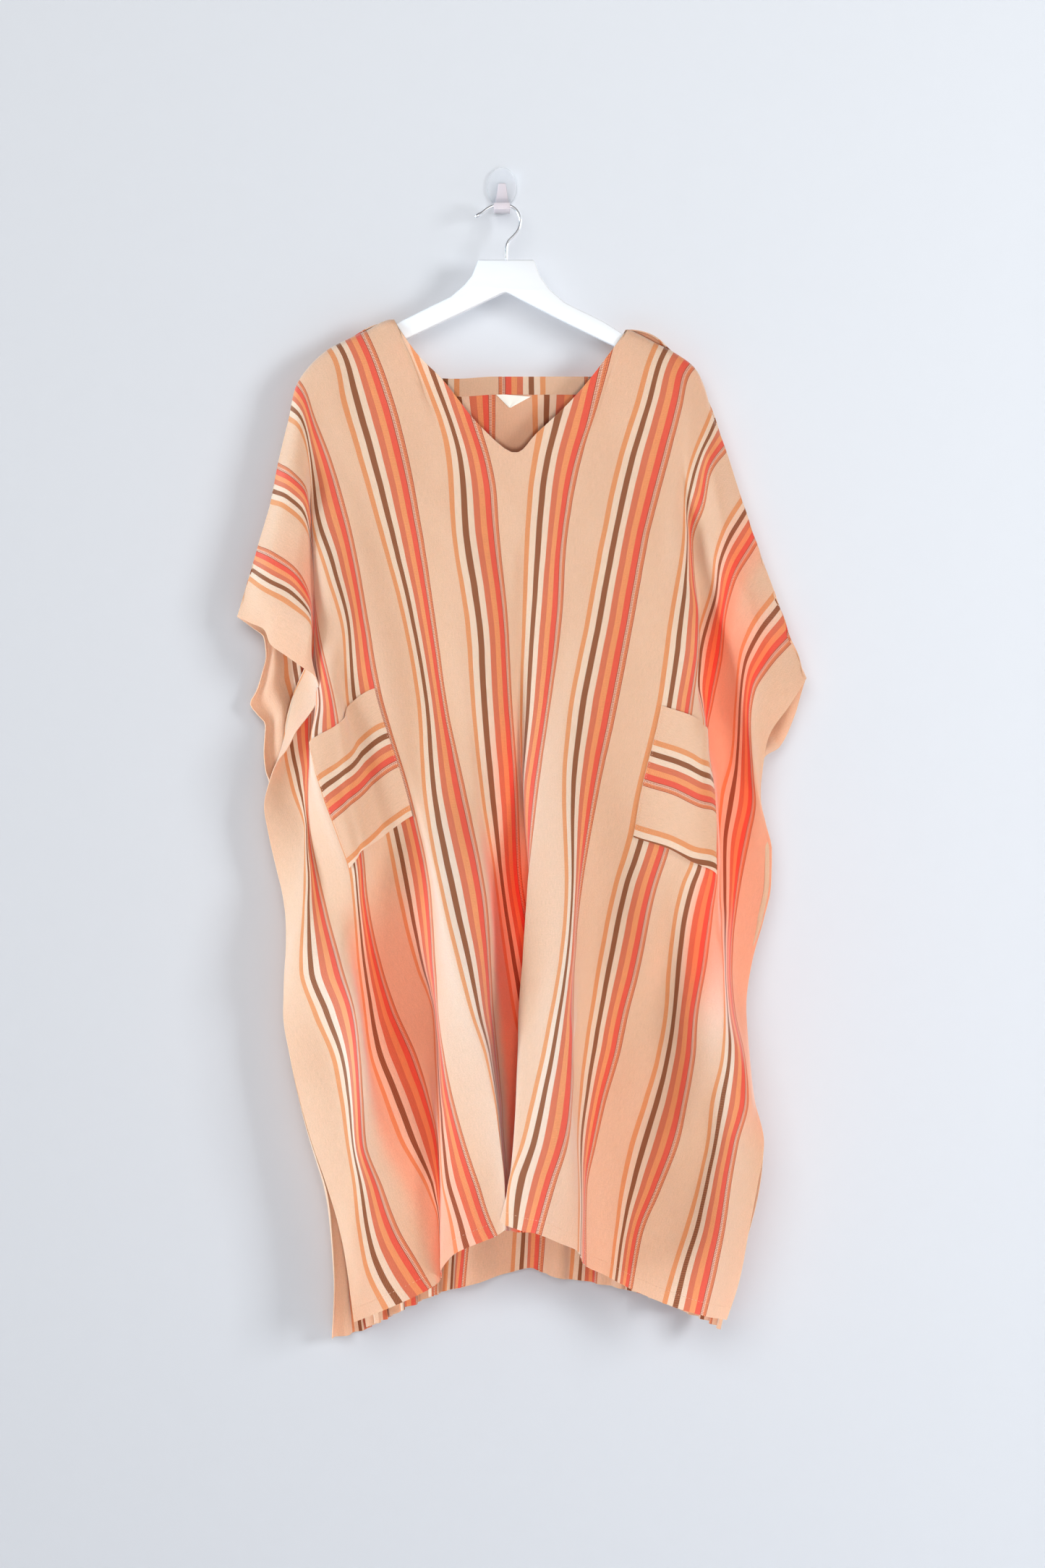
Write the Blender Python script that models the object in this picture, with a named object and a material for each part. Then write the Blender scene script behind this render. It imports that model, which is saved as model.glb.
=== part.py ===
"""A striped kaftan hanging on a white wooden hanger, which hangs from a clear wall hook.

X runs to the right across the garment, +Y goes into the wall behind it and +Z goes up, in metres. The origin is
the middle of the wall hook's back face, where it sticks to the wall.

The cloth is described by its warp threads. A thread is named by its place across the cloth, in millimetres from
the middle, and its route is read off the hanging garment as seen from EYE_DISTANCE in front of the hanger: across
and down in steps of one STEP, and forward of the hanger's middle plane in millimetres. Rows of threads at equal
stations make each panel's surface.
"""

import math

import bmesh
import bpy
import numpy as np

# Driving sizes, in metres
HANGER_WIDTH = 0.430
HANGER_STEPS = 512
STEP = HANGER_WIDTH / HANGER_STEPS
ORIGIN_ACROSS = 694
ORIGIN_DOWN = 253
HANGER_FROM_WALL = 0.030
EYE_DISTANCE = 4.0
EYE_ACROSS = 722.5
EYE_DOWN = 1084
CLOTH = 0.0016
SEAM_GAP = 0.0003
SELVAGE_APART = 0.0028

HANGER_THICKNESS = 0.012
HANGER_ROUNDING = 0.0028
WIRE_RADIUS = 0.00175
WIRE_TIP_SWELL = 1.35
STEM_DEPTH = 0.010

PLATE_WIDTH = 0.034
PLATE_HEIGHT = 0.047
PLATE_THICKNESS = 0.003
TONGUE_WIDTH = 0.019
TONGUE_THICKNESS = 0.002
TONGUE_TOP = 0.004
LIP_HEIGHT = 0.0076
LIP_PAST_WIRE = 0.004

POCKET_GAP = 0.0003
FACING_HEIGHT = 0.021
LABEL_WIDTH = 0.036
LABEL_DROP = 0.014

# How the cloth turns over the hanger: (drop, forward) in mm, and the lengths in m of the rows that follow it
SHOULDER_TURN = ((2.3, 5.7), (8.0, 8.2))
SHOULDER_WITHIN = 0.001
TURN_ROWS = (0.0, 0.0061, 0.0123)

# How the panels are divided: rows between stations, and extra columns between neighbouring threads
ROWS_BETWEEN_STATIONS = (6, 3, 3, 3, 3)
FIRST_SEWN_ROW = 8
LAST_SEWN_ROW = 18
COLUMNS_PER_GAP = 2

# Front threads. Columns: place across the cloth in mm, then the route: (across, down, forward in mm) from the
# shoulder fold or the neck edge down to the pocket's top line.
FRONT_UPPER = {
    -517: ((328, 853, 0), (352, 868, 12), (384, 900, 24), (420, 922, 32), (441, 950, 28), (430, 985, 18),
           (398, 1030, 12), (367, 1100, 6)),
    -477: ((344, 803, 0), (365, 818, 24), (400, 838, 32), (430, 868, 34), (428, 910, 14), (403, 970, 2),
           (400, 1081, -1)),
    -423: ((357, 755, 0), (380, 765, 24), (412, 790, 28), (429, 830, 20), (434, 890, -2), (430, 960, -3),
           (431, 1053, 4)),
    -377: ((374, 697, 0), (395, 705, 22), (420, 728, 24), (429, 762, 12), (434, 830, -3), (434, 900, 2),
           (438, 975, 28), (429, 1028, 44)),
    -323: ((385, 640, 0), (404, 652, 20), (423, 676, 20), (431, 740, -1), (434, 800, 0), (440, 862, 20),
           (466, 1000, 42)),
    -277: ((399, 582, 0), (412, 592, 16), (424, 625, 14), (430, 680, 4), (434, 735, 16), (452, 800, 26),
           (480, 976, 28)),
    -223: ((414, 526, 0), (427, 545, 12), (436, 580, 13), (452, 620, 13), (525, 951, 32)),
    -177: ((452, 485, 0), (460, 497, 10), (491, 620, 13), (574, 951, 26)),
    -123: ((506, 458, 0), (512, 470, 10), (561, 620, 14), (614, 951, 26)),
    -88: ((544, 442, 0), (550, 454, 9), (603, 620, 15), (641, 951, 31)),
    -84: ((549, 450, 8.6), (607, 620, 15), (644, 951, 31)),
    -77: ((566, 475, 11), (616, 620, 15), (649, 951, 32)),
    -50: ((614, 527, 14), (649, 640, 16), (678, 951, 27)),
    -23: ((664, 589, 15), (683, 660, 16), (706, 951, 22)),
    0: ((712, 626, 15), (711, 700, 16), (713, 951, 18)),
    23: ((742, 599, 15), (731, 680, 16), (720, 951, 16)),
    50: ((795, 548, 14), (770, 640, 16), (737, 951, 20)),
    77: ((846, 484, 11), (807, 620, 15), (764, 951, 30)),
    82: ((861, 464, 8.8), (812, 620, 15), (767, 951, 31)),
    86: ((866, 456, 0), (861, 468, 9), (816, 620, 15), (769, 951, 32)),
    123: ((905, 474, 0), (899, 486, 10), (858, 620, 14), (792, 951, 38)),
    177: ((960, 509, 0), (951, 521, 11), (928, 620, 13), (858, 951, 30)),
    223: ((982, 565, 0), (973, 590, 14), (952, 645, 12), (944, 690, 4), (943, 740, 14), (935, 800, 24),
          (908, 973, 30)),
    277: ((1004, 624, 0), (984, 652, 16), (974, 700, 12), (958, 750, 0), (958, 800, 2), (965, 860, 20),
          (955, 990, 36)),
    323: ((1024, 687, 0), (1000, 728, 20), (988, 765, 18), (983, 810, 8), (967, 865, -1), (962, 930, 1),
          (974, 1004, 34)),
    377: ((1046, 753, 0), (1018, 800, 21), (1004, 850, 20), (998, 915, 8), (987, 965, 0), (982, 1020, 6)),
    423: ((1070, 817, 0), (1040, 858, 23), (1022, 905, 22), (1017, 960, 14), (1008, 1045, 5)),
    477: ((1094, 888, 0), (1062, 925, 24), (1044, 955, 27), (1038, 1000, 26), (1042, 1070, 20)),
    517: ((1115, 938, 0), (1090, 978, 16), (1064, 1016, 20), (1054, 1090, 12)),
}

# The same threads from the pocket's bottom line down, as (across, down, forward in mm). Columns: pocket bottom,
# knee, calf, hem.
FRONT_LOWER = {
    -517: ((395, 1275, 8), (394, 1345, 12), (432, 1580, 24), (490, 1828, 44)),
    -477: ((419, 1254, 33), (414, 1343, 40), (478, 1580, 48), (530, 1812, 44)),
    -423: ((444, 1226, 27), (474, 1341, 58), (506, 1580, 62), (597, 1780, 30)),
    -377: ((482, 1201, 46), (495, 1340, 32), (553, 1580, 38), (608, 1771, 24)),
    -323: ((502, 1176, 46), (529, 1340, 14), (606, 1580, 24), (611, 1757, 36)),
    -277: ((533, 1151, 28), (576, 1340, 16), (608, 1580, 48), (628, 1734, 62)),
    -223: ((576, 1127, 35), (603, 1340, 56), (643, 1580, 67), (688, 1708, 74)),
    -177: ((590, 1127, 48), (634, 1340, 88), (691, 1580, 81), (699, 1700, 80)),
    -123: ((650, 1127, 44), (679, 1340, 50), (697, 1580, 30), (703, 1702, 36)),
    -88: ((664, 1127, 34), (693, 1340, 22), (713, 1580, 4), (711, 1703, 8)),
    -84: ((666, 1127, 32), (696, 1340, 18), (716, 1580, 1), (713, 1704, 5)),
    -77: ((668, 1127, 30), (699, 1340, 12), (720, 1580, -2), (716, 1704, 2)),
    -50: ((695, 1127, 25), (722, 1340, 1), (732, 1580, -3), (725, 1704, 0)),
    -23: ((717, 1127, 15), (744, 1340, 6), (744, 1580, 8), (738, 1704, 8)),
    0: ((725, 1127, 7), (754, 1340, 24), (751, 1580, 28), (746, 1703, 26)),
    23: ((728, 1127, 9), (750, 1340, 44), (748, 1580, 50), (744, 1702, 48)),
    50: ((727, 1127, 30), (736, 1340, 58), (734, 1580, 68), (732, 1700, 68)),
    77: ((740, 1127, 48), (722, 1340, 62), (714, 1580, 76), (716, 1697, 82)),
    82: ((743, 1127, 50), (727, 1340, 66), (715, 1580, 80), (712, 1695, 84)),
    86: ((747, 1127, 52), (731, 1340, 68), (713, 1580, 83), (708, 1693, 86)),
    123: ((778, 1127, 57), (771, 1340, 84), (720, 1580, 101), (699, 1694, 98)),
    177: ((820, 1127, 42), (794, 1340, 66), (785, 1580, 100), (748, 1708, 108)),
    223: ((868, 1154, 38), (825, 1340, 46), (798, 1580, 62), (798, 1729, 86)),
    277: ((925, 1175, 48), (884, 1340, 46), (824, 1580, 31), (810, 1750, 44)),
    323: ((955, 1190, 54), (922, 1340, 34), (871, 1580, 26), (842, 1766, 24)),
    377: ((992, 1210, 56), (976, 1340, 60), (938, 1580, 42), (874, 1783, 28)),
    423: ((994, 1230, 24), (1000, 1340, 78), (976, 1580, 42), (916, 1801, 36)),
    477: ((1020, 1250, 9), (1012, 1340, 24), (1021, 1580, 62), (975, 1820, 56)),
    517: ((1058, 1275, 6), (1040, 1340, 10), (1056, 1580, 52), (1005, 1825, 60)),
}

# The threads that run over the hanger's arms
ON_HANGER = (-223, -177, -123, -88, 86, 123, 177)

# Back threads. The folds lie within FOLD_DEPTH of the panel's own plane. Columns: place across the cloth in mm,
# which way its fold turns, the upper route, then pocket top, pocket bottom, knee, calf and hem as (across, down).
BACK_PLANE = -16.5
BACK_FOLD_DEPTH = (1.0, 5.0, 7.0, 8.0, 8.5, 8.5)
BACK_SHOULDER_DEPTH = -10
BACK_THREADS = {
    -450: (-1, ((350, 778), (378, 860)), ((402, 1066), (424, 1238), (432, 1342), (458, 1580), (482, 1838))),
    -390: (1, ((370, 712), (398, 800)), ((436, 1034), (458, 1208), (466, 1341), (484, 1580), (505, 1830))),
    -330: (-1, ((383, 650), (416, 740)), ((468, 1004), (490, 1180), (498, 1340), (510, 1580), (530, 1822))),
    -270: (1, ((401, 575), (434, 650)), ((500, 972), (522, 1148), (530, 1340), (537, 1580), (555, 1812))),
    -210: (-1, ((424, 512), (470, 620)), ((536, 951), (556, 1127), (562, 1340), (566, 1580), (580, 1800))),
    -150: (1, ((480, 471), (530, 620)), ((580, 951), (592, 1127), (594, 1340), (594, 1580), (598, 1792))),
    -88: (-1, ((544, 442), (600, 620)), ((626, 951), (630, 1127), (626, 1340), (618, 1580), (608, 1788))),
    -84: (-1, ((550, 450), (603, 620)), ((629, 951), (633, 1127), (629, 1340), (621, 1580), (610, 1787))),
    -74: (0, ((598, 502), (617, 640)), ((638, 951), (640, 1127), (636, 1340), (628, 1580), (616, 1785))),
    -60: (0, ((618, 519), (640, 640)), ((652, 951), (652, 1127), (646, 1340), (637, 1580), (624, 1783))),
    -23: (1, ((680, 521), (682, 640)), ((684, 951), (680, 1127), (672, 1340), (660, 1580), (643, 1779))),
    23: (-1, ((737, 521), (737, 640)), ((734, 951), (730, 1127), (724, 1340), (716, 1580), (706, 1759))),
    60: (0, ((803, 519), (775, 640)), ((768, 951), (762, 1127), (754, 1340), (744, 1580), (736, 1753))),
    74: (0, ((834, 495), (795, 640)), ((782, 951), (776, 1127), (767, 1340), (757, 1580), (747, 1758))),
    84: (1, ((860, 463), (808, 620)), ((792, 951), (786, 1127), (776, 1340), (766, 1580), (756, 1762))),
    88: (1, ((866, 456), (812, 620)), ((796, 951), (790, 1127), (780, 1340), (770, 1580), (760, 1764))),
    150: (-1, ((933, 490), (890, 620)), ((850, 951), (842, 1127), (832, 1340), (822, 1580), (808, 1771))),
    210: (1, ((976, 549), (950, 630)), ((900, 968), (888, 1149), (876, 1340), (868, 1580), (852, 1780))),
    270: (-1, ((1001, 617), (982, 690)), ((940, 988), (926, 1173), (912, 1340), (908, 1580), (890, 1790))),
    330: (1, ((1027, 694), (1004, 770)), ((968, 1006), (956, 1192), (944, 1340), (944, 1580), (922, 1803))),
    390: (-1, ((1052, 768), (1028, 840)), ((998, 1026), (986, 1214), (974, 1340), (978, 1580), (950, 1815))),
    450: (1, ((1080, 845), (1052, 905)), ((1026, 1058), (1016, 1240), (1006, 1340), (1014, 1580), (978, 1826))),
}
# The back's selvages hang free at the sleeve and then follow the front's, down to where the side seam ends
BACK_SELVAGE_UPPER = {
    -517: ((328, 853, 0), (336, 910, -12), (346, 972, -17), (362, 1020, -14)),
    517: ((1115, 938, 0), (1100, 985, -12), (1078, 1032, -12)),
}
BACK_SELVAGE_HEM = {-517: (460, 1850, -6), 517: (998, 1838, 16)}

# Pocket edges, as places across the cloth in mm
POCKETS = {"pocket_left": (-375, -230), "pocket_right": (230, 374)}
FACING_EDGE = 60

# Hanger outline, across and down, clockwise from the left of the block's top
HANGER_OUTLINE = (
    (661.5, 359), (738.5, 359), (746.5, 381), (760, 399.6), (781, 418), (835, 444.5), (864, 463), (908, 483),
    (934, 499), (943, 511), (940, 522), (930, 520), (853.6, 480), (780, 444), (705, 405.5), (699.6, 403.5),
    (694, 405), (640, 431), (564, 467), (462, 514), (446, 518), (440, 510), (446, 502), (464, 489), (506, 467),
    (550, 453), (593.8, 424), (623, 410), (642, 394), (652.7, 381),
)
HOOK_WIRE = (
    (657, 300), (666, 294.5), (675, 287.8), (684, 284.4), (694, 284), (704, 284.4), (712, 288.6), (717.5, 296),
    (719.5, 305), (717.5, 316), (711, 325.5), (703.5, 333), (700.3, 342), (700, 352), (700, 359),
)
WIRE_LOW_ON_SHELF = 285.4
BLOCK_TOP_DOWN = 359

COLOURS = {
    "cloth": (0.86, 0.52, 0.34, 1.0),
    "label": (0.92, 0.88, 0.80, 1.0),
    "painted_wood": (0.90, 0.90, 0.90, 1.0),
    "chrome": (0.75, 0.76, 0.78, 1.0),
    "clear_plastic": (0.86, 0.87, 0.90, 1.0),
}


def clear_scene():
    for obj in list(bpy.data.objects):
        bpy.data.objects.remove(obj, do_unlink=True)


def material(name, roughness, metallic=0.0):
    found = bpy.data.materials.get(name)
    if found:
        return found
    made = bpy.data.materials.new(name)
    made.use_nodes = True
    shader = made.node_tree.nodes["Principled BSDF"]
    shader.inputs["Base Color"].default_value = COLOURS[name]
    shader.inputs["Roughness"].default_value = roughness
    shader.inputs["Metallic"].default_value = metallic
    return made


def place(across, down, forward):
    """World position of a point of the hanging garment. What comes forward looks larger from the eye's place."""
    nearer = 1 - forward / 1000 / EYE_DISTANCE
    x = (EYE_ACROSS - ORIGIN_ACROSS + (across - EYE_ACROSS) * nearer) * STEP
    z = (ORIGIN_DOWN - EYE_DOWN - (down - EYE_DOWN) * nearer) * STEP
    return np.array((x, -HANGER_FROM_WALL - forward / 1000, z))


def smooth_through(knots, values, wanted):
    """Values at wanted places on a smooth curve through the knots, along the first axis."""
    knots = np.asarray(knots, float)
    values = np.asarray(values, float)
    steps = np.diff(knots)
    slopes = np.diff(values, axis=0) / steps.reshape((-1,) + (1,) * (values.ndim - 1))
    tangents = np.empty_like(values)
    tangents[0] = slopes[0]
    tangents[-1] = slopes[-1]
    weight = (steps[1:] / (steps[1:] + steps[:-1])).reshape((-1,) + (1,) * (values.ndim - 1))
    mean = weight * slopes[:-1] + (1 - weight) * slopes[1:]
    least = np.minimum(np.abs(slopes[:-1]), np.abs(slopes[1:]))
    tangents[1:-1] = np.where(slopes[:-1] * slopes[1:] > 0, np.clip(mean, -2 * least, 2 * least), 0)
    cell = np.clip(np.searchsorted(knots, wanted, side="right") - 1, 0, len(steps) - 1)
    shape = (-1,) + (1,) * (values.ndim - 1)
    width = steps[cell].reshape(shape)
    t = ((wanted - knots[cell]) / steps[cell]).reshape(shape)
    return (
        (2 * t**3 - 3 * t**2 + 1) * values[cell]
        + (t**3 - 2 * t**2 + t) * width * tangents[cell]
        + (-2 * t**3 + 3 * t**2) * values[cell + 1]
        + (t**3 - t**2) * width * tangents[cell + 1]
    )


def thread_rows(route, stations):
    """Points of a thread at each row: the top, the turn over the shoulder, then equal steps between stations."""
    route = np.array([place(*point) for point in route])
    lengths = np.concatenate(([0], np.cumsum(np.linalg.norm(np.diff(route, axis=0), axis=1))))
    fine = np.unique(np.concatenate((np.linspace(0, lengths[-1], 400), lengths)))
    curve = smooth_through(lengths, route, fine)
    run = np.concatenate(([0], np.cumsum(np.linalg.norm(np.diff(curve, axis=0), axis=1))))
    marks = np.interp(lengths[list(stations)], fine, run)
    marks[0] = TURN_ROWS[-1]
    places = list(TURN_ROWS)
    for first, last, count in zip(marks[:-1], marks[1:], ROWS_BETWEEN_STATIONS):
        places.extend(first + (last - first) * (i + 1) / count for i in range(count))
    return np.stack([np.interp(places, run, curve[:, axis]) for axis in range(3)], axis=1)


def over_shoulder(route):
    """The route with its start rounded over the hanger: up from behind, then down in front."""
    (across, down, _), (next_across, next_down, _) = route[:2]
    length = math.hypot(next_across - across, next_down - down)
    lean = (next_across - across) / length
    fall = (next_down - down) / length
    side = math.copysign(1, route[1][2])
    turned = [(across, down, 0)]
    for drop, forward in SHOULDER_TURN:
        turned.append((across + lean * drop / (1000 * STEP), down + fall * drop / (1000 * STEP), side * forward))
    return turned + list(route[2:])


def front_routes():
    routes = {}
    for u, upper in FRONT_UPPER.items():
        route = upper + FRONT_LOWER[u]
        if u in ON_HANGER:
            route = over_shoulder(route)
        top = len(route) - 5
        routes[u] = (route, (0, top, top + 1, top + 2, top + 3, top + 4))
    return routes


def back_routes():
    routes = {}
    for u, (turn, upper, lower) in BACK_THREADS.items():
        shoulder = upper[0] + (0 if abs(u) > 87 else BACK_SHOULDER_DEPTH - 3,)
        route = [shoulder]
        if 87 < abs(u) < 240:
            route.append((upper[0][0], upper[0][1] + 14, BACK_SHOULDER_DEPTH))
            route = over_shoulder(route)
        route.append(upper[1] + (BACK_PLANE + 3 + turn * BACK_FOLD_DEPTH[0],))
        top = len(route)
        route += [(*spot, BACK_PLANE + turn * depth) for spot, depth in zip(lower, BACK_FOLD_DEPTH[1:])]
        routes[u] = (route, (0, top, top + 1, top + 2, top + 3, top + 4))
    apart = 1000 * SELVAGE_APART
    for u, upper in BACK_SELVAGE_UPPER.items():
        shared = (FRONT_UPPER[u][-1],) + FRONT_LOWER[u][:3]
        behind = [(across, down, forward - apart) for across, down, forward in shared]
        route = list(upper) + behind + [BACK_SELVAGE_HEM[u]]
        top = len(upper)
        routes[u] = (route, (0, top, top + 1, top + 2, top + 3, top + 4))
    return routes


class Panel:
    """A cloth panel as a grid of points: rows down the threads, columns across them."""

    def __init__(self, routes, outward, sewn_to=None):
        self.threads = sorted(routes)
        self.net = np.stack([thread_rows(*routes[u]) for u in self.threads])
        if sewn_to is not None:
            for side in (0, -1):
                self.net[side, FIRST_SEWN_ROW:LAST_SEWN_ROW] = sewn_to.net[side, FIRST_SEWN_ROW:LAST_SEWN_ROW]
                self.net[side, FIRST_SEWN_ROW:LAST_SEWN_ROW, 1] += SELVAGE_APART
        places = [edge for pocket in POCKETS.values() for edge in pocket] if sewn_to is None else []
        for left, right in zip(self.threads[:-1], self.threads[1:]):
            count = COLUMNS_PER_GAP if right - left > 30 else 1
            places.extend(np.linspace(left, right, count, endpoint=False))
        self.columns = np.array(sorted(places + [self.threads[-1]]))
        self.points = smooth_through(self.threads, self.net, self.columns)
        self.normals = grid_normals(self.points, outward)
        flat_top(self.points, self.normals)

    def stretch(self, left, right, first_row, last_row, offset):
        """Points and normals over a stretch of the panel, moved out from it."""
        inside = (self.columns >= left) & (self.columns <= right)
        normals = self.normals[inside, first_row : last_row + 1]
        return self.points[inside, first_row : last_row + 1] + offset * normals, normals


def grid_normals(points, outward):
    across = np.gradient(points, axis=0)
    down = np.gradient(points, axis=1)
    normals = outward * np.cross(down, across)
    return normals / np.linalg.norm(normals, axis=2, keepdims=True)


def flat_top(points, normals):
    """Over the shoulders the wall stands square to the hanger's plane, so that front and back meet face to face."""
    along = np.gradient(points[:, 0], axis=0)
    upright = np.stack((-along[:, 2], np.zeros(len(along)), along[:, 0]), axis=1)
    upright[upright[:, 2] < 0] *= -1
    upright /= np.linalg.norm(upright, axis=1, keepdims=True)
    shoulder = np.abs(points[:, 0, 1] + HANGER_FROM_WALL) < SHOULDER_WITHIN
    normals[shoulder, 0] = upright[shoulder]


def shell_object(name, points, normals, thickness, finish, roughness):
    """A closed wall of even thickness about a grid of points."""
    columns, rows = points.shape[:2]
    outer = points + normals * thickness / 2
    inner = points - normals * thickness / 2
    mesh = bpy.data.meshes.new(name)
    built = bmesh.new()
    sides = []
    for layer in (outer, inner):
        sides.append([[built.verts.new(layer[i, j]) for j in range(rows)] for i in range(columns)])
    for i in range(columns - 1):
        for j in range(rows - 1):
            out = sides[0]
            built.faces.new((out[i][j], out[i + 1][j], out[i + 1][j + 1], out[i][j + 1]))
            back = sides[1]
            built.faces.new((back[i][j], back[i][j + 1], back[i + 1][j + 1], back[i + 1][j]))
    rim = [(i, 0) for i in range(columns)] + [(columns - 1, j) for j in range(1, rows)]
    rim += [(i, rows - 1) for i in range(columns - 2, -1, -1)] + [(0, j) for j in range(rows - 2, 0, -1)]
    for (a, b), (c, d) in zip(rim, rim[1:] + rim[:1]):
        built.faces.new((sides[0][a][b], sides[1][a][b], sides[1][c][d], sides[0][c][d]))
    bmesh.ops.triangulate(built, faces=built.faces[:])
    bmesh.ops.recalc_face_normals(built, faces=built.faces[:])
    built.to_mesh(mesh)
    built.free()
    obj = bpy.data.objects.new(name, mesh)
    bpy.context.scene.collection.objects.link(obj)
    mesh.materials.append(material(finish, roughness))
    mesh.shade_smooth()
    return obj


def make_panel(name, routes, outward, sewn_to=None):
    panel = Panel(routes, outward, sewn_to)
    points = panel.points.copy()
    points[:, 0, 1] -= outward * SEAM_GAP / 2 * (np.abs(points[:, 0, 1] + HANGER_FROM_WALL) < SHOULDER_WITHIN)
    shell_object(name, points, panel.normals, CLOTH, "cloth", 0.9)
    return panel


def make_pocket(name, front):
    top = len(TURN_ROWS) - 1 + ROWS_BETWEEN_STATIONS[0]
    bottom = top + ROWS_BETWEEN_STATIONS[1]
    points, normals = front.stretch(*POCKETS[name], top, bottom, CLOTH + POCKET_GAP)
    shell_object(name, points, normals, CLOTH, "cloth", 0.9)


def make_facing(back):
    """The strip turned to the inside of the back neck."""
    points, normals = back.stretch(-FACING_EDGE, FACING_EDGE, 0, 3, -CLOTH - POCKET_GAP)
    last = points[:, 3] - points[:, 2]
    share = (FACING_HEIGHT - TURN_ROWS[-1]) / np.linalg.norm(last, axis=1, keepdims=True)
    points[:, 3] = points[:, 2] + last * share
    shell_object("neck_facing", points, normals, CLOTH, "cloth", 0.9)
    middle = len(points) // 2
    return points[middle, 3], -normals[middle, 3]


def make_label(hang, face):
    """A blank loop of tape, folded to a point, below the middle of the facing."""
    half = LABEL_WIDTH / 2
    top = hang + np.array((0, 0, -0.0003))
    width = np.array((half, 0, 0))
    drop = np.array((0, 0, -LABEL_DROP))
    left = np.stack((top - width, top - 0.9 * width + 0.3 * drop))
    middle = np.stack((top, top + drop))
    right = np.stack((top + width, top + 0.9 * width + 0.2 * drop))
    points = np.stack((left, middle, right))
    normals = np.broadcast_to(face, points.shape).copy()
    shell_object("label", points, normals, 0.0010, "label", 0.8)


def make_hanger():
    """Wooden arms and block in one piece, with a blind hole in the block for the hook's stem."""
    mesh = bpy.data.meshes.new("hanger")
    built = bmesh.new()
    ring = [built.verts.new(place(x, z, 1000 * HANGER_THICKNESS / 2)) for x, z in HANGER_OUTLINE]
    face = built.faces.new(ring)
    moved = bmesh.ops.extrude_face_region(built, geom=[face])
    verts = [v for v in moved["geom"] if isinstance(v, bmesh.types.BMVert)]
    bmesh.ops.translate(built, verts=verts, vec=(0, HANGER_THICKNESS, 0))
    bmesh.ops.recalc_face_normals(built, faces=built.faces[:])
    built.to_mesh(mesh)
    built.free()
    hanger = bpy.data.objects.new("hanger", mesh)
    bpy.context.scene.collection.objects.link(hanger)
    mesh.materials.append(material("painted_wood", 0.4))
    rounding = hanger.modifiers.new("rounded_edges", "BEVEL")
    rounding.width = HANGER_ROUNDING
    rounding.segments = 2
    rounding.limit_method = "ANGLE"
    rounding.angle_limit = math.radians(50)
    hole = cylinder("stem_hole", WIRE_RADIUS + SEAM_GAP, STEM_DEPTH + 0.012)
    hole.location = place(HOOK_WIRE[-1][0], BLOCK_TOP_DOWN, 0) + np.array((0, 0, -STEM_DEPTH / 2 + 0.0055))
    hole.hide_render = True
    hole.display_type = "WIRE"
    drill = hanger.modifiers.new("stem_hole", "BOOLEAN")
    drill.operation = "DIFFERENCE"
    drill.object = hole
    return hanger


def cylinder(name, radius, height, sides=16):
    mesh = bpy.data.meshes.new(name)
    built = bmesh.new()
    bmesh.ops.create_cone(
        built, cap_ends=True, segments=sides, radius1=radius, radius2=radius, depth=height
    )
    built.to_mesh(mesh)
    built.free()
    obj = bpy.data.objects.new(name, mesh)
    bpy.context.scene.collection.objects.link(obj)
    return obj


def make_hanger_hook():
    """The chrome wire hook, with a swollen tip."""
    route = np.array([place(x, z, 0) for x, z in HOOK_WIRE])
    foot = place(HOOK_WIRE[-1][0], BLOCK_TOP_DOWN, 0) - np.array((0, 0, STEM_DEPTH))
    route = np.vstack((route, foot))
    lengths = np.concatenate(([0], np.cumsum(np.linalg.norm(np.diff(route, axis=0), axis=1))))
    count = 34
    points = smooth_through(lengths, route, np.linspace(0, lengths[-1], count))
    curve = bpy.data.curves.new("hanger_hook", "CURVE")
    curve.dimensions = "3D"
    curve.bevel_depth = WIRE_RADIUS
    curve.bevel_resolution = 2
    curve.use_fill_caps = True
    spline = curve.splines.new("POLY")
    spline.points.add(count - 1)
    for i, point in enumerate(points):
        spline.points[i].co = (*point, 1.0)
        spline.points[i].radius = WIRE_TIP_SWELL if i < 3 else 1.0
    spline.points[0].radius = 0.7
    obj = bpy.data.objects.new("hanger_hook", curve)
    bpy.context.scene.collection.objects.link(obj)
    curve.materials.append(material("chrome", 0.15, 1.0))


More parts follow.
